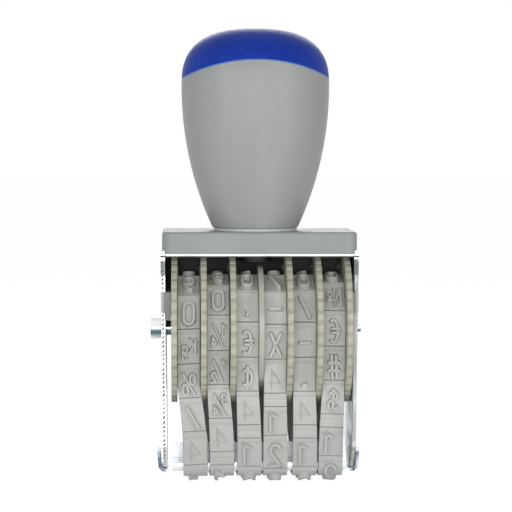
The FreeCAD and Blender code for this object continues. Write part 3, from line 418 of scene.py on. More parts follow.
# Painted shade: the apron's inner face, below the web and behind the wheels, is near black.
below_web = spread(tree, place["Z"], 1, 0, frame_high.z * MM, (frame_high.z + 0.05) * MM)
inside = spread(tree, place["Y"], 1, 0, (plate_edge_y + 0.1) * MM, (plate_edge_y + 0.3) * MM)
behind = spread(tree, place["Y"], 0, 1, 0, 1 * MM)
apron_painted_shade = worked(tree, "MULTIPLY", worked(tree, "MULTIPLY", below_web, inside), behind)
blend_in(tree, tree.nodes["Principled BSDF"], apron_painted_shade, (12, 12, 11))
rims = [[corner.x for corner in box_mm("centre_disc")]]
for number in range(1, WHEELS + 1):
    low, high = (corner.x for corner in box_mm(f"wheel_{number}"))
    rims.append([low, low + RIM_THICKNESS] if number <= WHEELS / 2 else [high - RIM_THICKNESS, high])
# The rear skirt is drawn down into an apron notched tight round the wheel rims: a dark sheet standing in for the
# shade behind the wheels. The front skirt drops a little lower.
bm = copy_of("top_cover")
for vert in bm.verts:
    if vert.co.y > plate_edge_y - 0.1 and vert.co.z < frame_high.z - 0.05:
        for low, high in rims:
            if abs(vert.co.x - (low - NOTCH_GAP)) < 0.03:
                vert.co.x = low - NOTCH_TIGHT
            if abs(vert.co.x - (high + NOTCH_GAP)) < 0.03:
                vert.co.x = high + NOTCH_TIGHT
        if vert.co.z < APRON_LOW + 0.2:
            vert.co.z = APRON_LOW
        elif vert.co.z < frame_high.z - 1:
            vert.co.z -= NOTCH_GAP - NOTCH_TIGHT
    elif vert.co.y < -plate_edge_y and vert.co.z < frame_high.z - 0.1:
        vert.co.z -= SKIRT_EXTRA
make_piece(bm, "moulded_cover", "stamp", cover_plastic, ["top_cover"], crease=30)


# Side guides: small grey blocks clipped round the plates' edges beside the outer wheels.
# They are moulded with a dull, slightly pitted face.
def dress(node, material):
    """Give a CAD piece its finish."""
    piece = frame["nodes"][node]
    piece.data.materials.clear()
    piece.data.materials.append(material)


guide_plastic = moulded_plastic("dull guide plastic", (136, 137, 132), (158, 159, 155), 0.6, 420, 0.3)
tree = guide_plastic.node_tree
round_plate = spread(tree, from_middle(tree), 0, 0.85, (frame_high.x - 0.8) * MM, frame_high.x * MM)
blend_in(tree, tree.nodes["Principled BSDF"], round_plate, (236, 238, 238))
dress("left_cheek", guide_plastic)
dress("right_cheek", guide_plastic)

# Seat ring: a thin light washer between the handle and the cover.
# Only its rim shows, as a pale line under the handle.
dress("seat_washer", moulded_plastic("light ring plastic", (176, 178, 178), (192, 194, 194), 0.4, 300))

# Handle screw, its washer and the threaded sleeve: they hold handle, cover and frame together.
# The screw and washer are coloured near black as painted shade inside the frame; the head shows only from below.
screw_steel = plated_steel("near-black screw steel", (40, 40, 41), (62, 62, 63), 0.42)
dress("handle_screw", screw_steel)
dress("spring_washer", screw_steel)
dress("handle_insert", plated_steel("turned brass", (190, 150, 82), (214, 176, 104), 0.3))

# Grey bulb of the handle: a hollow moulding, slim at the foot and widest just under the cap.
# Its upper rim is cut in an arch, where the blue cap sits.
BULB_RADIUS = 15.07
BULB_FOOT_RADIUS = 8.7
BULB_FLANK = 28.8
DOME_HEIGHT = 11.7
DOME_POWER = 2.65
SEAM_RADIUS = 35.0
SEAM_RISE = 33.6
SEAM_GAP = 0.05
BULB_WALL = 2.0
BULB_TURNS = 144
BULB_LEVELS = 44
handle_low, handle_high = box_mm("handle_body")
handle_x = (handle_low.x + handle_high.x) / 2
handle_foot = handle_low.z
widest = handle_foot + BULB_FLANK
flank_radius = ((BULB_RADIUS - BULB_FOOT_RADIUS) ** 2 + BULB_FLANK ** 2) / (2 * (BULB_RADIUS - BULB_FOOT_RADIUS))


def bulb_radius(height):
    """The handle's outer radius at a height above the floor."""
    if height <= widest:
        return BULB_RADIUS - flank_radius + math.sqrt(flank_radius ** 2 - (widest - height) ** 2)
    rise = min((height - widest) / DOME_HEIGHT, 1)
    return BULB_RADIUS * (1 - rise ** DOME_POWER) ** (1 / DOME_POWER)


def seam_height(turn, radius):
    """Where the arched seam crosses the handle's surface, at a turn about its axis."""
    centre = handle_foot + SEAM_RISE - SEAM_RADIUS
    height = centre + radius
    for _ in range(16):
        height = centre + math.sqrt(radius ** 2 - (bulb_radius(height) * math.cos(turn)) ** 2)
    return height


def spin_levels(levels):
    """A plain tube about the upright axis, one unit in radius and height."""
    bm = bmesh.new()
    verts = [bm.verts.new((1, 0, level / levels)) for level in range(levels + 1)]
    for here, there in zip(verts, verts[1:]):
        bm.edges.new((here, there))
    bmesh.ops.spin(bm, geom=bm.verts[:] + bm.edges[:], axis=(0, 0, 1), cent=(0, 0, 0),
                   angle=math.tau, steps=BULB_TURNS, use_merge=True)
    return bm


def rim_edges(bm, test):
    """Edges of a ring whose two ends pass a test."""
    return [edge for edge in bm.edges if all(test(vert) for vert in edge.verts)]


bm = spin_levels(BULB_LEVELS)
for vert in bm.verts:
    turn, share = math.atan2(vert.co.y, vert.co.x), vert.co.z
    height = handle_foot + share * (seam_height(turn, SEAM_RADIUS) - handle_foot)
    reach = bulb_radius(height)
    vert.co = (handle_x + reach * math.cos(turn), reach * math.sin(turn), height)
foot_ring = rim_edges(bm, lambda vert: vert.co.z < handle_foot + 0.01)
bmesh.ops.contextual_create(bm, geom=foot_ring)
bmesh.ops.recalc_face_normals(bm, faces=bm.faces)
bmesh.ops.solidify(bm, geom=bm.faces[:], thickness=BULB_WALL)
foot_ring = rim_edges(bm, lambda vert: vert.co.z < handle_foot + 0.01)
bmesh.ops.bevel(bm, geom=foot_ring, offset=0.35, segments=3, profile=0.5, affect="EDGES", material=-1)
bulb_plastic = moulded_plastic("grey handle plastic", (151, 153, 152), (162, 164, 163), 0.4, 95, 0.22,
                               (214, 214, 212))
make_piece(bm, "grey_bulb", "stamp", bulb_plastic, ["handle_body"], crease=40)

# Blue cap: a domed moulding, glossier than the bulb, pressed into the bulb's arched rim.
# Its lower edge is rounded, and a fine light-blue line is painted along the seam as a highlight.
CAP_LEVELS = 40
CAP_EDGE = 0.22
CAP_WALL = 1.6
bm = spin_levels(CAP_LEVELS)
for vert in bm.verts:
    turn, share = math.atan2(vert.co.y, vert.co.x), vert.co.z
    rise = (seam_height(turn, SEAM_RADIUS + SEAM_GAP) - widest) / DOME_HEIGHT
    start = math.asin(rise ** (DOME_POWER / 2))
    angle = start + (math.pi / 2 - start) * share
    reach = BULB_RADIUS * max(math.cos(angle), 0) ** (2 / DOME_POWER)
    height = widest + DOME_HEIGHT * math.sin(angle) ** (2 / DOME_POWER)
    vert.co = (handle_x + reach * math.cos(turn), reach * math.sin(turn), height)
bmesh.ops.remove_doubles(bm, verts=bm.verts, dist=0.001)
bmesh.ops.recalc_face_normals(bm, faces=bm.faces)
bmesh.ops.solidify(bm, geom=bm.faces[:], thickness=CAP_WALL)


def on_seam(vert):
    """Whether a vertex lies on the cap's outer lower edge."""
    turn = math.atan2(vert.co.y, vert.co.x - handle_x)
    reach = math.hypot(vert.co.x - handle_x, vert.co.y)
    height = seam_height(turn, SEAM_RADIUS + SEAM_GAP)
    return abs(vert.co.z - height) < 0.02 and abs(reach - bulb_radius(height)) < 0.02


bmesh.ops.bevel(bm, geom=rim_edges(bm, on_seam), offset=CAP_EDGE, segments=3, profile=0.5,
                affect="EDGES", material=-1)
cap_plastic, tree, shader = new_surface("blue cap plastic", (34, 60, 153), 0.42)
shader.inputs["Specular IOR Level"].default_value = 0.06
tone = grain(tree, 70, (1, 1, 1), 3.0)
dust = grain(tree, 1500, (1, 1, 1), 1.0)
tree.links.new(ramp(tree, tone, [(0.35, (26, 52, 150)), (0.65, (33, 61, 160))]), shader.inputs["Base Color"])
blend_in(tree, shader, ramp(tree, dust, [(0.72, (0, 0, 0)), (0.76, (110, 110, 110))]), (150, 165, 205))
place = tree.nodes.new("ShaderNodeTexCoord")
about_arc = tree.nodes.new("ShaderNodeMapping")
about_arc.inputs["Location"].default_value = (-handle_x * MM, 0, (SEAM_RADIUS - handle_foot - SEAM_RISE) * MM)
about_arc.inputs["Scale"].default_value = (1, 0, 1)
tree.links.new(place.outputs["Object"], about_arc.inputs["Vector"])
reach = tree.nodes.new("ShaderNodeVectorMath")
reach.operation = "LENGTH"
tree.links.new(about_arc.outputs["Vector"], reach.inputs[0])
seam_highlight = spread(tree, reach.outputs["Value"], 0.8, 0, (SEAM_RADIUS + 0.1) * MM, (SEAM_RADIUS + 0.32) * MM)
blend_in(tree, shader, seam_highlight, (112, 158, 220))
dent(tree, shader, grain(tree, 2400, (1, 1, 1), 2.0), 0.1, 0.02)
make_piece(bm, "blue_dome", "stamp", cap_plastic, ["handle_cap"], crease=40)

# Number wheels: cream mouldings, each a toothed finger rim beside a hollow drum that drives its band.
# Three have the rim on the left of the drum and three on the right, on one axle.
TEETH = 40
STEPS_PER_TOOTH = 8
TOOTH_DEPTH = 0.17
RIM_RADIUS = 15.2
RIM_ROUND = 0.12
DRUM_RADIUS = 9.2
DRUM_CAVITY = 7.4
HUB_RADIUS = 3.4
BORE_RADIUS = 1.6
WEB_FROM_RIM = 1.0
DRUM_PAST_DISC, DRUM_PAST_RIM = 0.08, 0.17
RECESS_INNER, RECESS_OUTER, RECESS_DEPTH = 5.2, 13.4, 0.25
wheel_plastic, tree, shader = new_surface("cream wheel plastic", (184, 184, 170), 0.45)
shader.inputs["Specular IOR Level"].default_value = 0.4
place = place_on(tree)
# Painted shade: the wheel is alternately lighter and darker round its axis, once for each tooth.
turned = worked(tree, "ARCTAN2", worked(tree, "SUBTRACT", place["Z"], axle_z * MM), place["Y"])
beat = worked(tree, "COSINE", worked(tree, "MULTIPLY", turned, TEETH))
tooth_shade = ramp(tree, spread(tree, beat, 0, 1, -1, 1),
                  [(0.3, (187, 187, 172)), (0.7, (179, 178, 163)), (0.9, (170, 169, 153))])
smudge = ramp(tree, grain(tree, 330, (1, 1, 1), 4.0), [(0.3, (232, 231, 226)), (0.62, (255, 255, 255))])
tree.links.new(tinted(tree, tooth_shade, smudge), shader.inputs["Base Color"])
dent(tree, shader, grain(tree, 2200, (1, 1, 1), 3.0), 0.15, 0.03)

for number in range(1, WHEELS + 1):
    low, high = box_mm(f"wheel_{number}")
    side = -1 if number <= WHEELS / 2 else 1
    start = high.x if side < 0 else low.x
    rim_in = high.x - low.x - RIM_THICKNESS
    rim_out = high.x - low.x
    end = -DRUM_PAST_DISC if number in (WHEELS / 2, WHEELS / 2 + 1) else -DRUM_PAST_RIM
    profile = [
        (end, BORE_RADIUS), (rim_out, BORE_RADIUS), (rim_out, RECESS_INNER - RECESS_DEPTH),
        (rim_out - RECESS_DEPTH, RECESS_INNER), (rim_out - RECESS_DEPTH, RECESS_OUTER - RECESS_DEPTH),
        (rim_out, RECESS_OUTER), (rim_out, RIM_RADIUS - RIM_ROUND), (rim_out - RIM_ROUND, RIM_RADIUS),
        (rim_in + RIM_ROUND, RIM_RADIUS), (rim_in, RIM_RADIUS - RIM_ROUND), (rim_in, DRUM_RADIUS),
        (end, DRUM_RADIUS), (end, DRUM_CAVITY), (rim_in - WEB_FROM_RIM + RIM_THICKNESS, DRUM_CAVITY),
        (rim_in - WEB_FROM_RIM + RIM_THICKNESS, HUB_RADIUS), (end, HUB_RADIUS)]
    bm = bmesh.new()
    verts = [bm.verts.new((start + side * x, 0, axle_z + radius)) for x, radius in profile]
    for here, there in zip(verts, verts[1:] + verts[:1]):
        bm.edges.new((here, there))
    bmesh.ops.spin(bm, geom=bm.verts[:] + bm.edges[:], axis=(1, 0, 0), cent=(0, 0, axle_z),
                   angle=math.tau, steps=TEETH * STEPS_PER_TOOTH, use_merge=True)
    for vert in bm.verts:
        arm = Vector((vert.co.y, vert.co.z - axle_z))
        if arm.length > RIM_RADIUS - RIM_ROUND * 1.5:
            beat_place = round(math.atan2(arm.y, arm.x) / math.tau * TEETH * STEPS_PER_TOOTH) % STEPS_PER_TOOTH
            drop = {0: TOOTH_DEPTH, 1: TOOTH_DEPTH, STEPS_PER_TOOTH - 1: TOOTH_DEPTH}.get(beat_place, 0)
            arm *= (arm.length - drop) / arm.length
            vert.co.y, vert.co.z = arm.x, axle_z + arm.y
    bmesh.ops.recalc_face_normals(bm, faces=bm.faces)
    make_piece(bm, f"toothed_wheel_{number}", f"number_wheel_{number}", wheel_plastic,
               [f"wheel_{number}"], crease=30)

# Centre disc: a smooth plain washer of the same cream plastic between the middle bands.
# It keeps the left-hand and right-hand wheels apart.
disc_plastic, tree, shader = new_surface("cream disc plastic", (184, 185, 173), 0.42)
tree.links.new(ramp(tree, grain(tree, 300, (1, 1, 1), 4.0), [(0.3, (168, 170, 157)), (0.65, (179, 181, 168))]),
               shader.inputs["Base Color"])
dent(tree, shader, grain(tree, 2200, (1, 1, 1), 3.0), 0.12, 0.03)
dress("centre_disc", disc_plastic)

# Number bands: endless belts of pale grey rubber, moulded flat between cross ribs and welded at one joint.
# Each carries mirrored characters with sloping flanks, and runs over its drum and round the nose bar.
BELT_WIDTH = 4.5
BELT_SPREAD = 0.1
BELT_THICKNESS = 1.0
BELT_EDGE = 0.14
BELT_TOP_RADIUS = 11.0
BELT_TOP_THICKNESS = 1.6
NOSE_CORNER_RADIUS = 2.2
NOSE_CORNER_Y = 2.3
TYPE_RELIEF = 1.0
TYPE_HEIGHT = 4.6
TYPE_WIDTH = 2.0
WIDE_TYPE_WIDTH = 2.7
TYPE_SUNK = 0.2
STROKE_HALF = 0.28
FINE_HALF = 0.2
THIN_HALF = 0.13
THIN_RELIEF = 0.17
TYPE_FLARE, FINE_FLARE, THIN_FLARE = 0.16, 0.13, 0.05
RIB_WIDTH = 1.05
RIB_RELIEF = 0.05
LINE_HALF = 0.11
LINE_DEPTH = 0.24
JOINT_WIDTH = 2.9
CELLS = 14
CAP_STEPS = 6
STATION_STEP = 0.9
NOSE_STEP = 0.3
STROKE_STEP = 0.55
JOINT_PLACE_SHARES = [0.0600, 0.0874, 0.1438, 0.2095, 0.1433, 0.1660]
LEANS = [1.4, 0.9, 0.6, 0.25, 0.4, -0.25]
REAR_SKEWS = [0.0, -0.9, -1.1, -0.9, -0.9, -0.4]
REAR_FROM, REAR_TO = 19.2, 15.0
BACK_FROM, BACK_TO, BACK_SHARE = 15.0, 4.0, 0.7
NOSE_TURN_Y = 3.5
TOP_TILTS = [0.04, 0.0, 0.0, 0.0, 0.0, -0.015]
NOSE_TILTS = [0.08, 0.04, 0.005, 0.012, 0.0, -0.035]
LEAN_FROM, LEAN_TO = 20.3, 4.0
LOWER_DARKENING_TO = 24.0
SIGNS = [("thin", "/", "%", "kilo"), ("thin", "three quarters", "half", "quarter"),
         ("thin", "cent", "euro", "comma"), ("thin", "X", "-", "/"), ("thin", "ring", "-", "/"),
         ("$", "#", "euro", "number")]
FINE = ("%", "kilo", "number", "quarter", "half", "three quarters")


def bow(x, y, half_width, half_height, start, stop, steps=10):
    """Points of an arc, in shares of the type's width and height."""
    turns = [math.radians(start + (stop - start) * step / steps) for step in range(steps + 1)]
    return [(x + half_width * math.cos(turn), y + half_height * math.sin(turn)) for turn in turns]


GLYPH_SHARES = {
    "0": [bow(0.5, 0.76, 0.5, 0.24, 0, 180) + bow(0.5, 0.24, 0.5, 0.24, 180, 360) + [(1, 0.76)]],
    "1": [[(1, 0.03), (1, 0.93)], [(1, 0.93), (0.85, 0.83), (0.42, 0.76)]],
    "2": [bow(0.5, 0.74, 0.46, 0.26, 165, -25) + [(0.05, 0)], [(0.05, 0), (1, 0)]],
    "3": [bow(0.47, 0.76, 0.44, 0.24, 150, -80), bow(0.47, 0.27, 0.5, 0.27, 90, -145)],
    "4": [[(0.72, 0), (0.72, 1)], [(0.72, 1), (0, 0.28)], [(0, 0.28), (1, 0.28)]],
    "5": [[(0.9, 1), (0.15, 1)], [(0.15, 1), (0.08, 0.56)], bow(0.47, 0.3, 0.5, 0.3, 125, -145)],
    "6": [bow(0.5, 0.27, 0.48, 0.27, 0, 360), bow(0.95, 0.3, 0.93, 0.68, 180, 100)],
    "7": [[(0, 1), (1, 1)], [(1, 1), (0.35, 0)]],
    "8": [bow(0.5, 0.77, 0.4, 0.23, 0, 360), bow(0.5, 0.27, 0.5, 0.27, 0, 360)],
    "9": [bow(0.5, 0.73, 0.48, 0.27, 0, 360), bow(0.05, 0.7, 0.93, 0.68, 0, -80)],
    "-": [[(0, 0.5), (1, 0.5)]],
    "comma": [bow(0.6, 0.2, 0.14, 0.1, 100, 260, 6)],
    "ring": [bow(0.5, 0.13, 0.15, 0.07, 0, 360)],
    "/": [[(0.05, 0), (0.95, 1)]],
    "X": [[(0, 0), (1, 1)], [(0, 1), (1, 0)]],
    "#": [[(0, 0.32), (1, 0.32)], [(0, 0.68), (1, 0.68)], [(0.22, 0), (0.34, 1)], [(0.66, 0), (0.78, 1)]],
    "$": [bow(0.5, 0.7, 0.42, 0.2, 35, 200, 10) + bow(0.5, 0.3, 0.45, 0.22, 60, -150, 10), [(0.5, 0), (0.5, 1)]],
    "cent": [bow(0.55, 0.5, 0.5, 0.36, 60, 300), [(0.5, 0), (0.5, 1)]],
    "euro": [bow(0.62, 0.5, 0.45, 0.5, 60, 300), [(0, 0.6), (0.75, 0.6)], [(0, 0.42), (0.75, 0.42)]],
    "%": [[(0.1, 0), (0.9, 1)], bow(0.22, 0.73, 0.2, 0.25, 0, 360), bow(0.78, 0.27, 0.2, 0.25, 0, 360)],
    "kilo": [[(0, 0.32), (0, 0.95)], [(0.45, 1), (0.05, 0.66)], [(0.12, 0.7), (0.48, 0.36)],
             bow(0.78, 0.52, 0.18, 0.16, 0, 360), [(0.97, 0.66), (0.97, 0.2)],
             bow(0.78, 0.2, 0.19, 0.16, 0, -140, 6)],
    "number": [[(0, 0.05), (0, 0.95)], [(0, 0.95), (0.48, 0.05)], [(0.48, 0.05), (0.48, 0.95)],
               bow(0.8, 0.6, 0.16, 0.17, 0, 360), [(0.66, 0.3), (0.96, 0.3)]],
    "quarter": [[(0.15, 0), (0.85, 1)], [(0.18, 0.55), (0.18, 1)], [(0.18, 1), (0.02, 0.86)],
                [(0.92, 0), (0.92, 0.45)], [(0.92, 0.45), (0.62, 0.14)], [(0.62, 0.14), (1, 0.14)]],
    "half": [[(0.15, 0), (0.85, 1)], [(0.18, 0.55), (0.18, 1)], [(0.18, 1), (0.02, 0.86)],
             bow(0.8, 0.33, 0.17, 0.12, 160, -30, 8) + [(0.64, 0)], [(0.64, 0), (1, 0)]],
    "three quarters": [[(0.15, 0), (0.85, 1)], bow(0.14, 0.88, 0.15, 0.12, 140, -90, 8),
                       bow(0.14, 0.66, 0.17, 0.12, 90, -140, 8),
                       [(0.92, 0), (0.92, 0.45)], [(0.92, 0.45), (0.62, 0.14)], [(0.62, 0.14), (1, 0.14)]],
}
GLYPH_SHARES["thin"] = [[(0.9, 0.05), (0.9, 0.93)], [(0.9, 0.93), (0.05, 0.3)], [(0.05, 0.3), (1.1, 0.3)]]

nose_low = TYPE_RELIEF + NOSE_CORNER_RADIUS
run_rise = axle_z - nose_low
run_span = math.hypot(run_rise, NOSE_CORNER_Y)
run_lean = math.asin((BELT_TOP_RADIUS - NOSE_CORNER_RADIUS) / run_span) - math.atan2(NOSE_CORNER_Y, run_rise)
run_length = math.sqrt(run_span ** 2 - (BELT_TOP_RADIUS - NOSE_CORNER_RADIUS) ** 2)
run_start = NOSE_CORNER_Y + NOSE_CORNER_RADIUS * (math.pi / 2 - run_lean)
run_end = run_start + run_length
loop_length = 2 * run_end + BELT_TOP_RADIUS * (math.pi + 2 * run_lean)


def on_round_path(distance):
    """Place and outward direction at a distance round the loop, from the middle of the nose up the front."""
    distance %= loop_length
    if distance > loop_length / 2:
        spot, out = on_round_path(loop_length - distance)
        return Vector((-spot.x, spot.y)), Vector((-out.x, out.y))
    corner = Vector((-NOSE_CORNER_Y, nose_low))
    if distance <= NOSE_CORNER_Y:
        return Vector((-distance, nose_low - NOSE_CORNER_RADIUS)), Vector((0, -1))
    if distance <= run_start:
        turn = (distance - NOSE_CORNER_Y) / NOSE_CORNER_RADIUS
        out = Vector((-math.sin(turn), -math.cos(turn)))
        return corner + out * NOSE_CORNER_RADIUS, out
    out = Vector((-math.cos(run_lean), -math.sin(run_lean)))
    if distance <= run_end:
        up = Vector((-math.sin(run_lean), math.cos(run_lean)))
        return corner + out * NOSE_CORNER_RADIUS + up * (distance - run_start), out
    turn = (distance - run_end) / BELT_TOP_RADIUS - run_lean
    out = Vector((-math.cos(turn), math.sin(turn)))
    return Vector((0, axle_z)) + out * BELT_TOP_RADIUS, out


def on_facets(distance, lines):
    """Place and outward direction on the belt's face, flat between two cell lines over the drum."""
    for low, high in zip(lines, lines[1:]):
        here = low + (distance - low) % loop_length
        if here <= high and low >= run_start and high <= loop_length - run_start:
            start, stop = on_round_path(low)[0], on_round_path(high)[0]
            along = (stop - start).normalized()
            return start.lerp(stop, (here - low) / (high - low)), Vector((-along.y, along.x))
    return on_round_path(distance)


def line_relief(distance, lines):
    """How far the belt's face stands up or down at a distance: ribs, and the grooves at their edges."""
    for line in lines:
        away = (distance - line + loop_length / 2) % loop_length - loop_length / 2
        if abs(away) < LINE_HALF:
            return -LINE_DEPTH * (1 - abs(away) / LINE_HALF)
        if -RIB_WIDTH < away <= -LINE_HALF:
            return RIB_RELIEF
    joint = (distance - lines[-1]) % loop_length
    if LINE_HALF < joint < JOINT_WIDTH - LINE_HALF:
        middle = abs(joint - JOINT_WIDTH / 2)
        return RIB_RELIEF * (0.2 if middle < 0.1 else 1)
    return 0


def line_stations(lines):
    """Distances round the loop at which the belt's mesh is cut."""
    stations = [STATION_STEP * step for step in range(1, int(loop_length / STATION_STEP))]
    stations += [sign * (NOSE_CORNER_Y + NOSE_STEP * step) for sign in (-1, 1) for step in range(11)]
    for line in lines:
        stations += [line - RIB_WIDTH - 0.03, line - RIB_WIDTH + 0.03, line - LINE_HALF - 0.01,
                     line - LINE_HALF / 2, line, line + LINE_HALF / 2, line + LINE_HALF + 0.01]
    middle = lines[-1] + JOINT_WIDTH / 2
    stations += [middle - 0.13, middle - 0.09, middle + 0.09, middle + 0.13]
    return sorted({round(station % loop_length, 4) for station in stations})


def stroke_rings(points):
    """Centre points and outward directions once round a stroke; a closed stroke has two such rings."""
    legs = [(here, there, (there - here).normalized()) for here, there in zip(points, points[1:])
            if (there - here).length > 1e-6]
    closed = (points[0] - points[-1]).length < 1e-6
    sides = []
    for sign in (1, -1):
        ring = []
        for index, (here, there, along) in enumerate(legs):
            out = Vector((-along.y, along.x)) * sign
            before = legs[index - 1][2] if index or closed else along
            blend = Vector((-(along + before).y, (along + before).x)) * sign
            ring += [(here, blend.normalized()), (here, out), (there, out)]
        sides.append(ring)
    if closed:
        return sides
    left, right = sides
    turn_round = [math.pi * step / CAP_STEPS for step in range(1, CAP_STEPS)]
    end_cap = [(left[-1][0], Matrix.Rotation(-turn, 2) @ left[-1][1]) for turn in turn_round]
    start_cap = [(left[0][0], Matrix.Rotation(-turn, 2) @ right[0][1]) for turn in turn_round]
    return [left + end_cap + right[::-1] + start_cap]


def dense(points):
    """The same line with points close enough to bend round the nose."""
    line = [points[0]]
    for there in points[1:]:
        here = line[-1]
        count = max(1, math.ceil((there - here).length / STROKE_STEP))
        line += [here.lerp(there, share / count) for share in range(1, count + 1)]
    return line


def add_glyph(bm, name, middle):
    """Raise a mirrored character from the flat belt, about the middle of its cell."""
    half, flare, relief, width = STROKE_HALF, TYPE_FLARE, TYPE_RELIEF, TYPE_WIDTH
    if name in FINE:
        half, flare, width = FINE_HALF, FINE_FLARE, WIDE_TYPE_WIDTH
    if name == "thin":
        half, flare, relief = THIN_HALF, THIN_FLARE, THIN_RELIEF
    profile = [(0, -TYPE_SUNK), (half + flare, -TYPE_SUNK), (half + flare, 0), (half + flare * 0.45, relief * 0.2),
               (half + flare * 0.15, relief * 0.75), (half - 0.03, relief * 0.93), (half * 0.6, relief),
               (0, relief)]
    for shares in GLYPH_SHARES[name]:
        points = [Vector(((0.5 - x) * width, (y - 0.5) * TYPE_HEIGHT)) for x, y in shares]
        for ring in stroke_rings(dense(points)):
            made = bmesh.ops.create_grid(bm, x_segments=len(profile) - 1, y_segments=len(ring), size=0.5)["verts"]
            for vert in made:
                reach, height = profile[round((vert.co.x + 0.5) * (len(profile) - 1))]
                centre, out = ring[round((vert.co.y + 0.5) * len(ring)) % len(ring)]
                spot = centre + out * reach
                vert.co = (spot.x, middle + spot.y, height)
            bmesh.ops.remove_doubles(bm, verts=made, dist=1e-5)


def flat_belt(lines):
    """The straight strip of rubber with its ribs and lines, before it is bent round."""
    bm = bmesh.new()
    bmesh.ops.create_cube(bm, size=1)
    bmesh.ops.scale(bm, vec=(BELT_WIDTH, loop_length, BELT_THICKNESS), verts=bm.verts)
    bmesh.ops.translate(bm, vec=(0, loop_length / 2, -BELT_THICKNESS / 2), verts=bm.verts)
    ends = [face for face in bm.faces if abs(face.normal.y) > 0.9]
    bmesh.ops.delete(bm, geom=ends, context="FACES_ONLY")
    long_edges = [edge for edge in bm.edges if abs((edge.verts[0].co - edge.verts[1].co).y) > 1]
    bmesh.ops.bevel(bm, geom=long_edges, offset=BELT_EDGE, segments=2, profile=0.5, affect="EDGES", material=-1)
    for station in line_stations(lines):
        bmesh.ops.bisect_plane(bm, geom=bm.verts[:] + bm.edges[:] + bm.faces[:], dist=1e-6,
                               plane_co=(0, station, 0), plane_no=(0, 1, 0))
    for vert in bm.verts:
        if vert.co.z > -BELT_EDGE * 0.7:
            vert.co.z += line_relief(vert.co.y, lines)
    return bm


def eased(share):
    """A share from 0 to 1 that starts and ends gently."""
    share = min(max(share, 0), 1)
    return share * share * (3 - 2 * share)


def bend_round(bm, lines, x, lean, rear_skew, top_tilt, nose_tilt):
    """Bend the strip round the drum and the nose bar, and let it lean as it runs down."""
    height_map = bm.loops.layers.uv.new("height")
    for face in bm.faces:
        for loop in face.loops:
            loop[height_map].uv = (loop.vert.co.x / BELT_WIDTH, loop.vert.co.z)
    for vert in bm.verts:
        across, along, height = vert.co
        share = min(max((on_round_path(along)[0].y - nose_low) / run_rise, 0), 1)
        side = 1 if along % loop_length < loop_length / 2 else -1
        along += across * side * (nose_tilt + (top_tilt - nose_tilt) * share)
        spot, out = on_facets(along, lines)
        if height >= 0:
            spot = spot + out * height
        else:
            core, core_out = on_round_path(along)
            thickness = BELT_THICKNESS + (BELT_TOP_THICKNESS - BELT_THICKNESS) * share
            spot = spot.lerp(core - core_out * thickness, -height / BELT_THICKNESS)
        drop = math.sin(math.pi / 2 * min(max((LEAN_FROM - spot.y) / (LEAN_FROM - LEAN_TO), 0), 1))
        rear_drop = eased((REAR_FROM - spot.y) / (REAR_FROM - REAR_TO))
        rear_drop *= 1 - BACK_SHARE * eased((BACK_FROM - spot.y) / (BACK_FROM - BACK_TO))
        rear = min(max((spot.x + NOSE_TURN_Y) / (2 * NOSE_TURN_Y), 0), 1)
        across *= 1 + BELT_SPREAD * drop
        vert.co = (x + across + drop * lean + rear_drop * rear_skew * rear, spot.x, spot.y)
    bmesh.ops.remove_doubles(bm, verts=bm.verts, dist=1e-4)
    bmesh.ops.recalc_face_normals(bm, faces=bm.faces)


rubber, tree, shader = new_surface("pale band rubber", (179, 180, 175), 0.55)
shader.inputs["Specular IOR Level"].default_value = 0.35
mottle = grain(tree, 260, (1, 1, 1), 5.0)
height_uv = tree.nodes.new("ShaderNodeUVMap")
height_uv.uv_map = "height"
height_split = tree.nodes.new("ShaderNodeSeparateXYZ")
tree.links.new(height_uv.outputs["UV"], height_split.inputs["Vector"])
height = spread(tree, height_split.outputs["Y"], 0, 1, -1, 1)
mottled = ramp(tree, mottle, [(0.3, (200, 200, 196)), (0.68, (211, 211, 208))])
# Painted light and shade by height on the strip: dark in the grooves and round the characters' feet, greyer on
# their flanks and down the belt's sides, light on the face and the characters' tops.
relief_light_and_shade = ramp(tree, height, [(0.0, (225, 225, 222)), (0.38, (180, 180, 176)), (0.44, (205, 205, 202)),
                            (0.49, (251, 251, 251)), (0.515, (251, 251, 251)), (0.56, (232, 232, 229)),
                            (0.8, (238, 238, 236)), (0.93, (252, 252, 252)), (1.0, (255, 255, 255))])
tree.links.new(tinted(tree, mottled, relief_light_and_shade), shader.inputs["Base Color"])
# The rubber is mixed towards a flat darker grey near the bottom of the stamp, three quarters at the floor and
# fading out 24 mm up.
lower_darkening = spread(tree, place_on(tree)["Z"], 0.75, 0, 0, LOWER_DARKENING_TO * MM)
blend_in(tree, shader, lower_darkening, (176, 176, 175))
tree.links.new(spread(tree, mottle, 0.48, 0.64), shader.inputs["Roughness"])
dent(tree, shader, grain(tree, 1900, (1, 1, 1), 4.0), 0.2, 0.03)
clear = (loop_length - (CELLS - 1) * RIB_WIDTH - JOINT_WIDTH) / CELLS
for number in range(1, WHEELS + 1):
    joint = JOINT_PLACE_SHARES[number - 1] * loop_length
    lines = [joint + (clear + RIB_WIDTH) * step for step in range(CELLS)] + [joint + loop_length - JOINT_WIDTH]
    bm = flat_belt(lines)
    for low, high, name in zip(lines, lines[1:], list(SIGNS[number - 1]) + list("0987654321")):
        top = high - RIB_WIDTH if high != lines[-1] else high
        add_glyph(bm, name, (low + top) / 2)
    low, high = box_mm(f"band_{number}")
    bend_round(bm, lines, (low.x + high.x) / 2, LEANS[number - 1], REAR_SKEWS[number - 1],
               TOP_TILTS[number - 1], NOSE_TILTS[number - 1])
    make_piece(bm, f"number_belt_{number}", "stamp", rubber, [f"band_{number}"], crease=50)

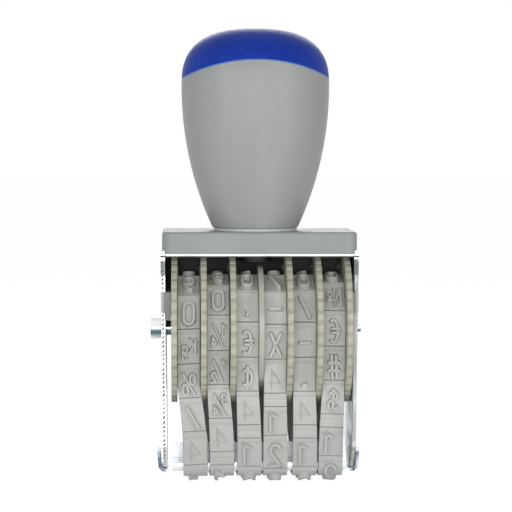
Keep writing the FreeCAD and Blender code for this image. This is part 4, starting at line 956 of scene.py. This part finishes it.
# Studio: a pale floor, a white surround, three soft lamps in front and one behind.
# The camera stands where the photograph was taken, almost level and a touch to the left.
CAMERA_DISTANCE = 410.0
CAMERA_AZIMUTH = -2.0
CAMERA_ELEVATION = 3.3
CAMERA_ROLL = 0.1
PHOTO_WIDTH = 105.0
SENSOR_WIDTH = 36.0
AIM = Vector((-0.45, 0.0, 45.95))
WORLD_LIGHT = 0.28
FLOOR_GLOW = 1.5
FLOOR_GLOW_SHARE = 0.6


def aim_at(thing, target):
    """Turn a lamp or a camera to face a place."""
    thing.rotation_mode = "QUATERNION"
    thing.rotation_quaternion = (target * MM - thing.location).to_track_quat("-Z", "Y")


def soft_lamp(name, place, width, height, power):
    """A flat lamp that the camera itself doesn't see."""
    light = bpy.data.lights.new(name, "AREA")
    light.shape = "RECTANGLE"
    light.size = width * MM
    light.size_y = height * MM
    light.energy = power
    lamp = bpy.data.objects.new(name, light)
    lamp.location = Vector(place) * MM
    lamp.visible_camera = False
    bpy.context.scene.collection.objects.link(lamp)
    aim_at(lamp, AIM)


def where_seen(tree):
    """1 for what the camera, a mirror or glass sees, and 0 for the light that reaches the object."""
    path = tree.nodes.new("ShaderNodeLightPath")
    seen = worked(tree, "MAXIMUM", path.outputs["Is Camera Ray"], path.outputs["Is Glossy Ray"])
    return worked(tree, "MAXIMUM", seen, path.outputs["Is Transmission Ray"])


world = bpy.data.worlds.new("white studio")
bpy.context.scene.world = world
world.use_nodes = True
tree = world.node_tree
dim = tree.nodes["Background"]
dim.inputs["Color"].default_value = (1, 1, 1, 1)
dim.inputs["Strength"].default_value = WORLD_LIGHT
bright = tree.nodes.new("ShaderNodeBackground")
bright.inputs["Color"].default_value = (1, 1, 1, 1)
bright.inputs["Strength"].default_value = 1.0
mix = tree.nodes.new("ShaderNodeMixShader")
tree.links.new(where_seen(tree), mix.inputs["Fac"])
tree.links.new(dim.outputs["Background"], mix.inputs[1])
tree.links.new(bright.outputs["Background"], mix.inputs[2])
tree.links.new(mix.outputs["Shader"], tree.nodes["World Output"].inputs["Surface"])

floor_white = bpy.data.materials.new("pale floor")
floor_white.use_nodes = True
tree = floor_white.node_tree
tree.nodes.remove(tree.nodes["Principled BSDF"])
matte = tree.nodes.new("ShaderNodeBsdfDiffuse")
matte.inputs["Color"].default_value = (0.8, 0.8, 0.8, 1)
glow = tree.nodes.new("ShaderNodeEmission")
glow.inputs["Strength"].default_value = FLOOR_GLOW
mix = tree.nodes.new("ShaderNodeMixShader")
tree.links.new(worked(tree, "MULTIPLY", where_seen(tree), FLOOR_GLOW_SHARE), mix.inputs["Fac"])
tree.links.new(matte.outputs["BSDF"], mix.inputs[1])
tree.links.new(glow.outputs["Emission"], mix.inputs[2])
tree.links.new(mix.outputs["Shader"], tree.nodes["Material Output"].inputs["Surface"])
bm = bmesh.new()
bmesh.ops.create_grid(bm, x_segments=1, y_segments=1, size=3)
floor_mesh = bpy.data.meshes.new("floor")
bm.to_mesh(floor_mesh)
bm.free()
floor_mesh.materials.append(floor_white)
floor = bpy.data.objects.new("floor", floor_mesh)
bpy.context.scene.collection.objects.link(floor)

soft_lamp("front lamp", (-20, -480, 80), 340, 130, 0.98)
soft_lamp("left lamp", (-360, -380, 110), 220, 200, 0.6)
soft_lamp("right lamp", (360, -380, 110), 220, 200, 0.54)
soft_lamp("back lamp", (20, 440, 230), 300, 160, 0.6)

camera = bpy.data.objects.new("camera", bpy.data.cameras.new("camera"))
camera.data.sensor_width = SENSOR_WIDTH
camera.data.lens = SENSOR_WIDTH * CAMERA_DISTANCE / PHOTO_WIDTH
camera.data.clip_start = 0.01
azimuth, elevation = math.radians(CAMERA_AZIMUTH), math.radians(CAMERA_ELEVATION)
back = Vector((math.sin(azimuth) * math.cos(elevation), -math.cos(azimuth) * math.cos(elevation),
               math.sin(elevation)))
camera.location = (AIM + back * CAMERA_DISTANCE) * MM
aim_at(camera, AIM)
camera.rotation_quaternion = camera.rotation_quaternion @ Matrix.Rotation(
    math.radians(CAMERA_ROLL), 3, "Z").to_quaternion()
bpy.context.scene.collection.objects.link(camera)
bpy.context.scene.camera = camera
bpy.context.scene.view_settings.view_transform = "Standard"
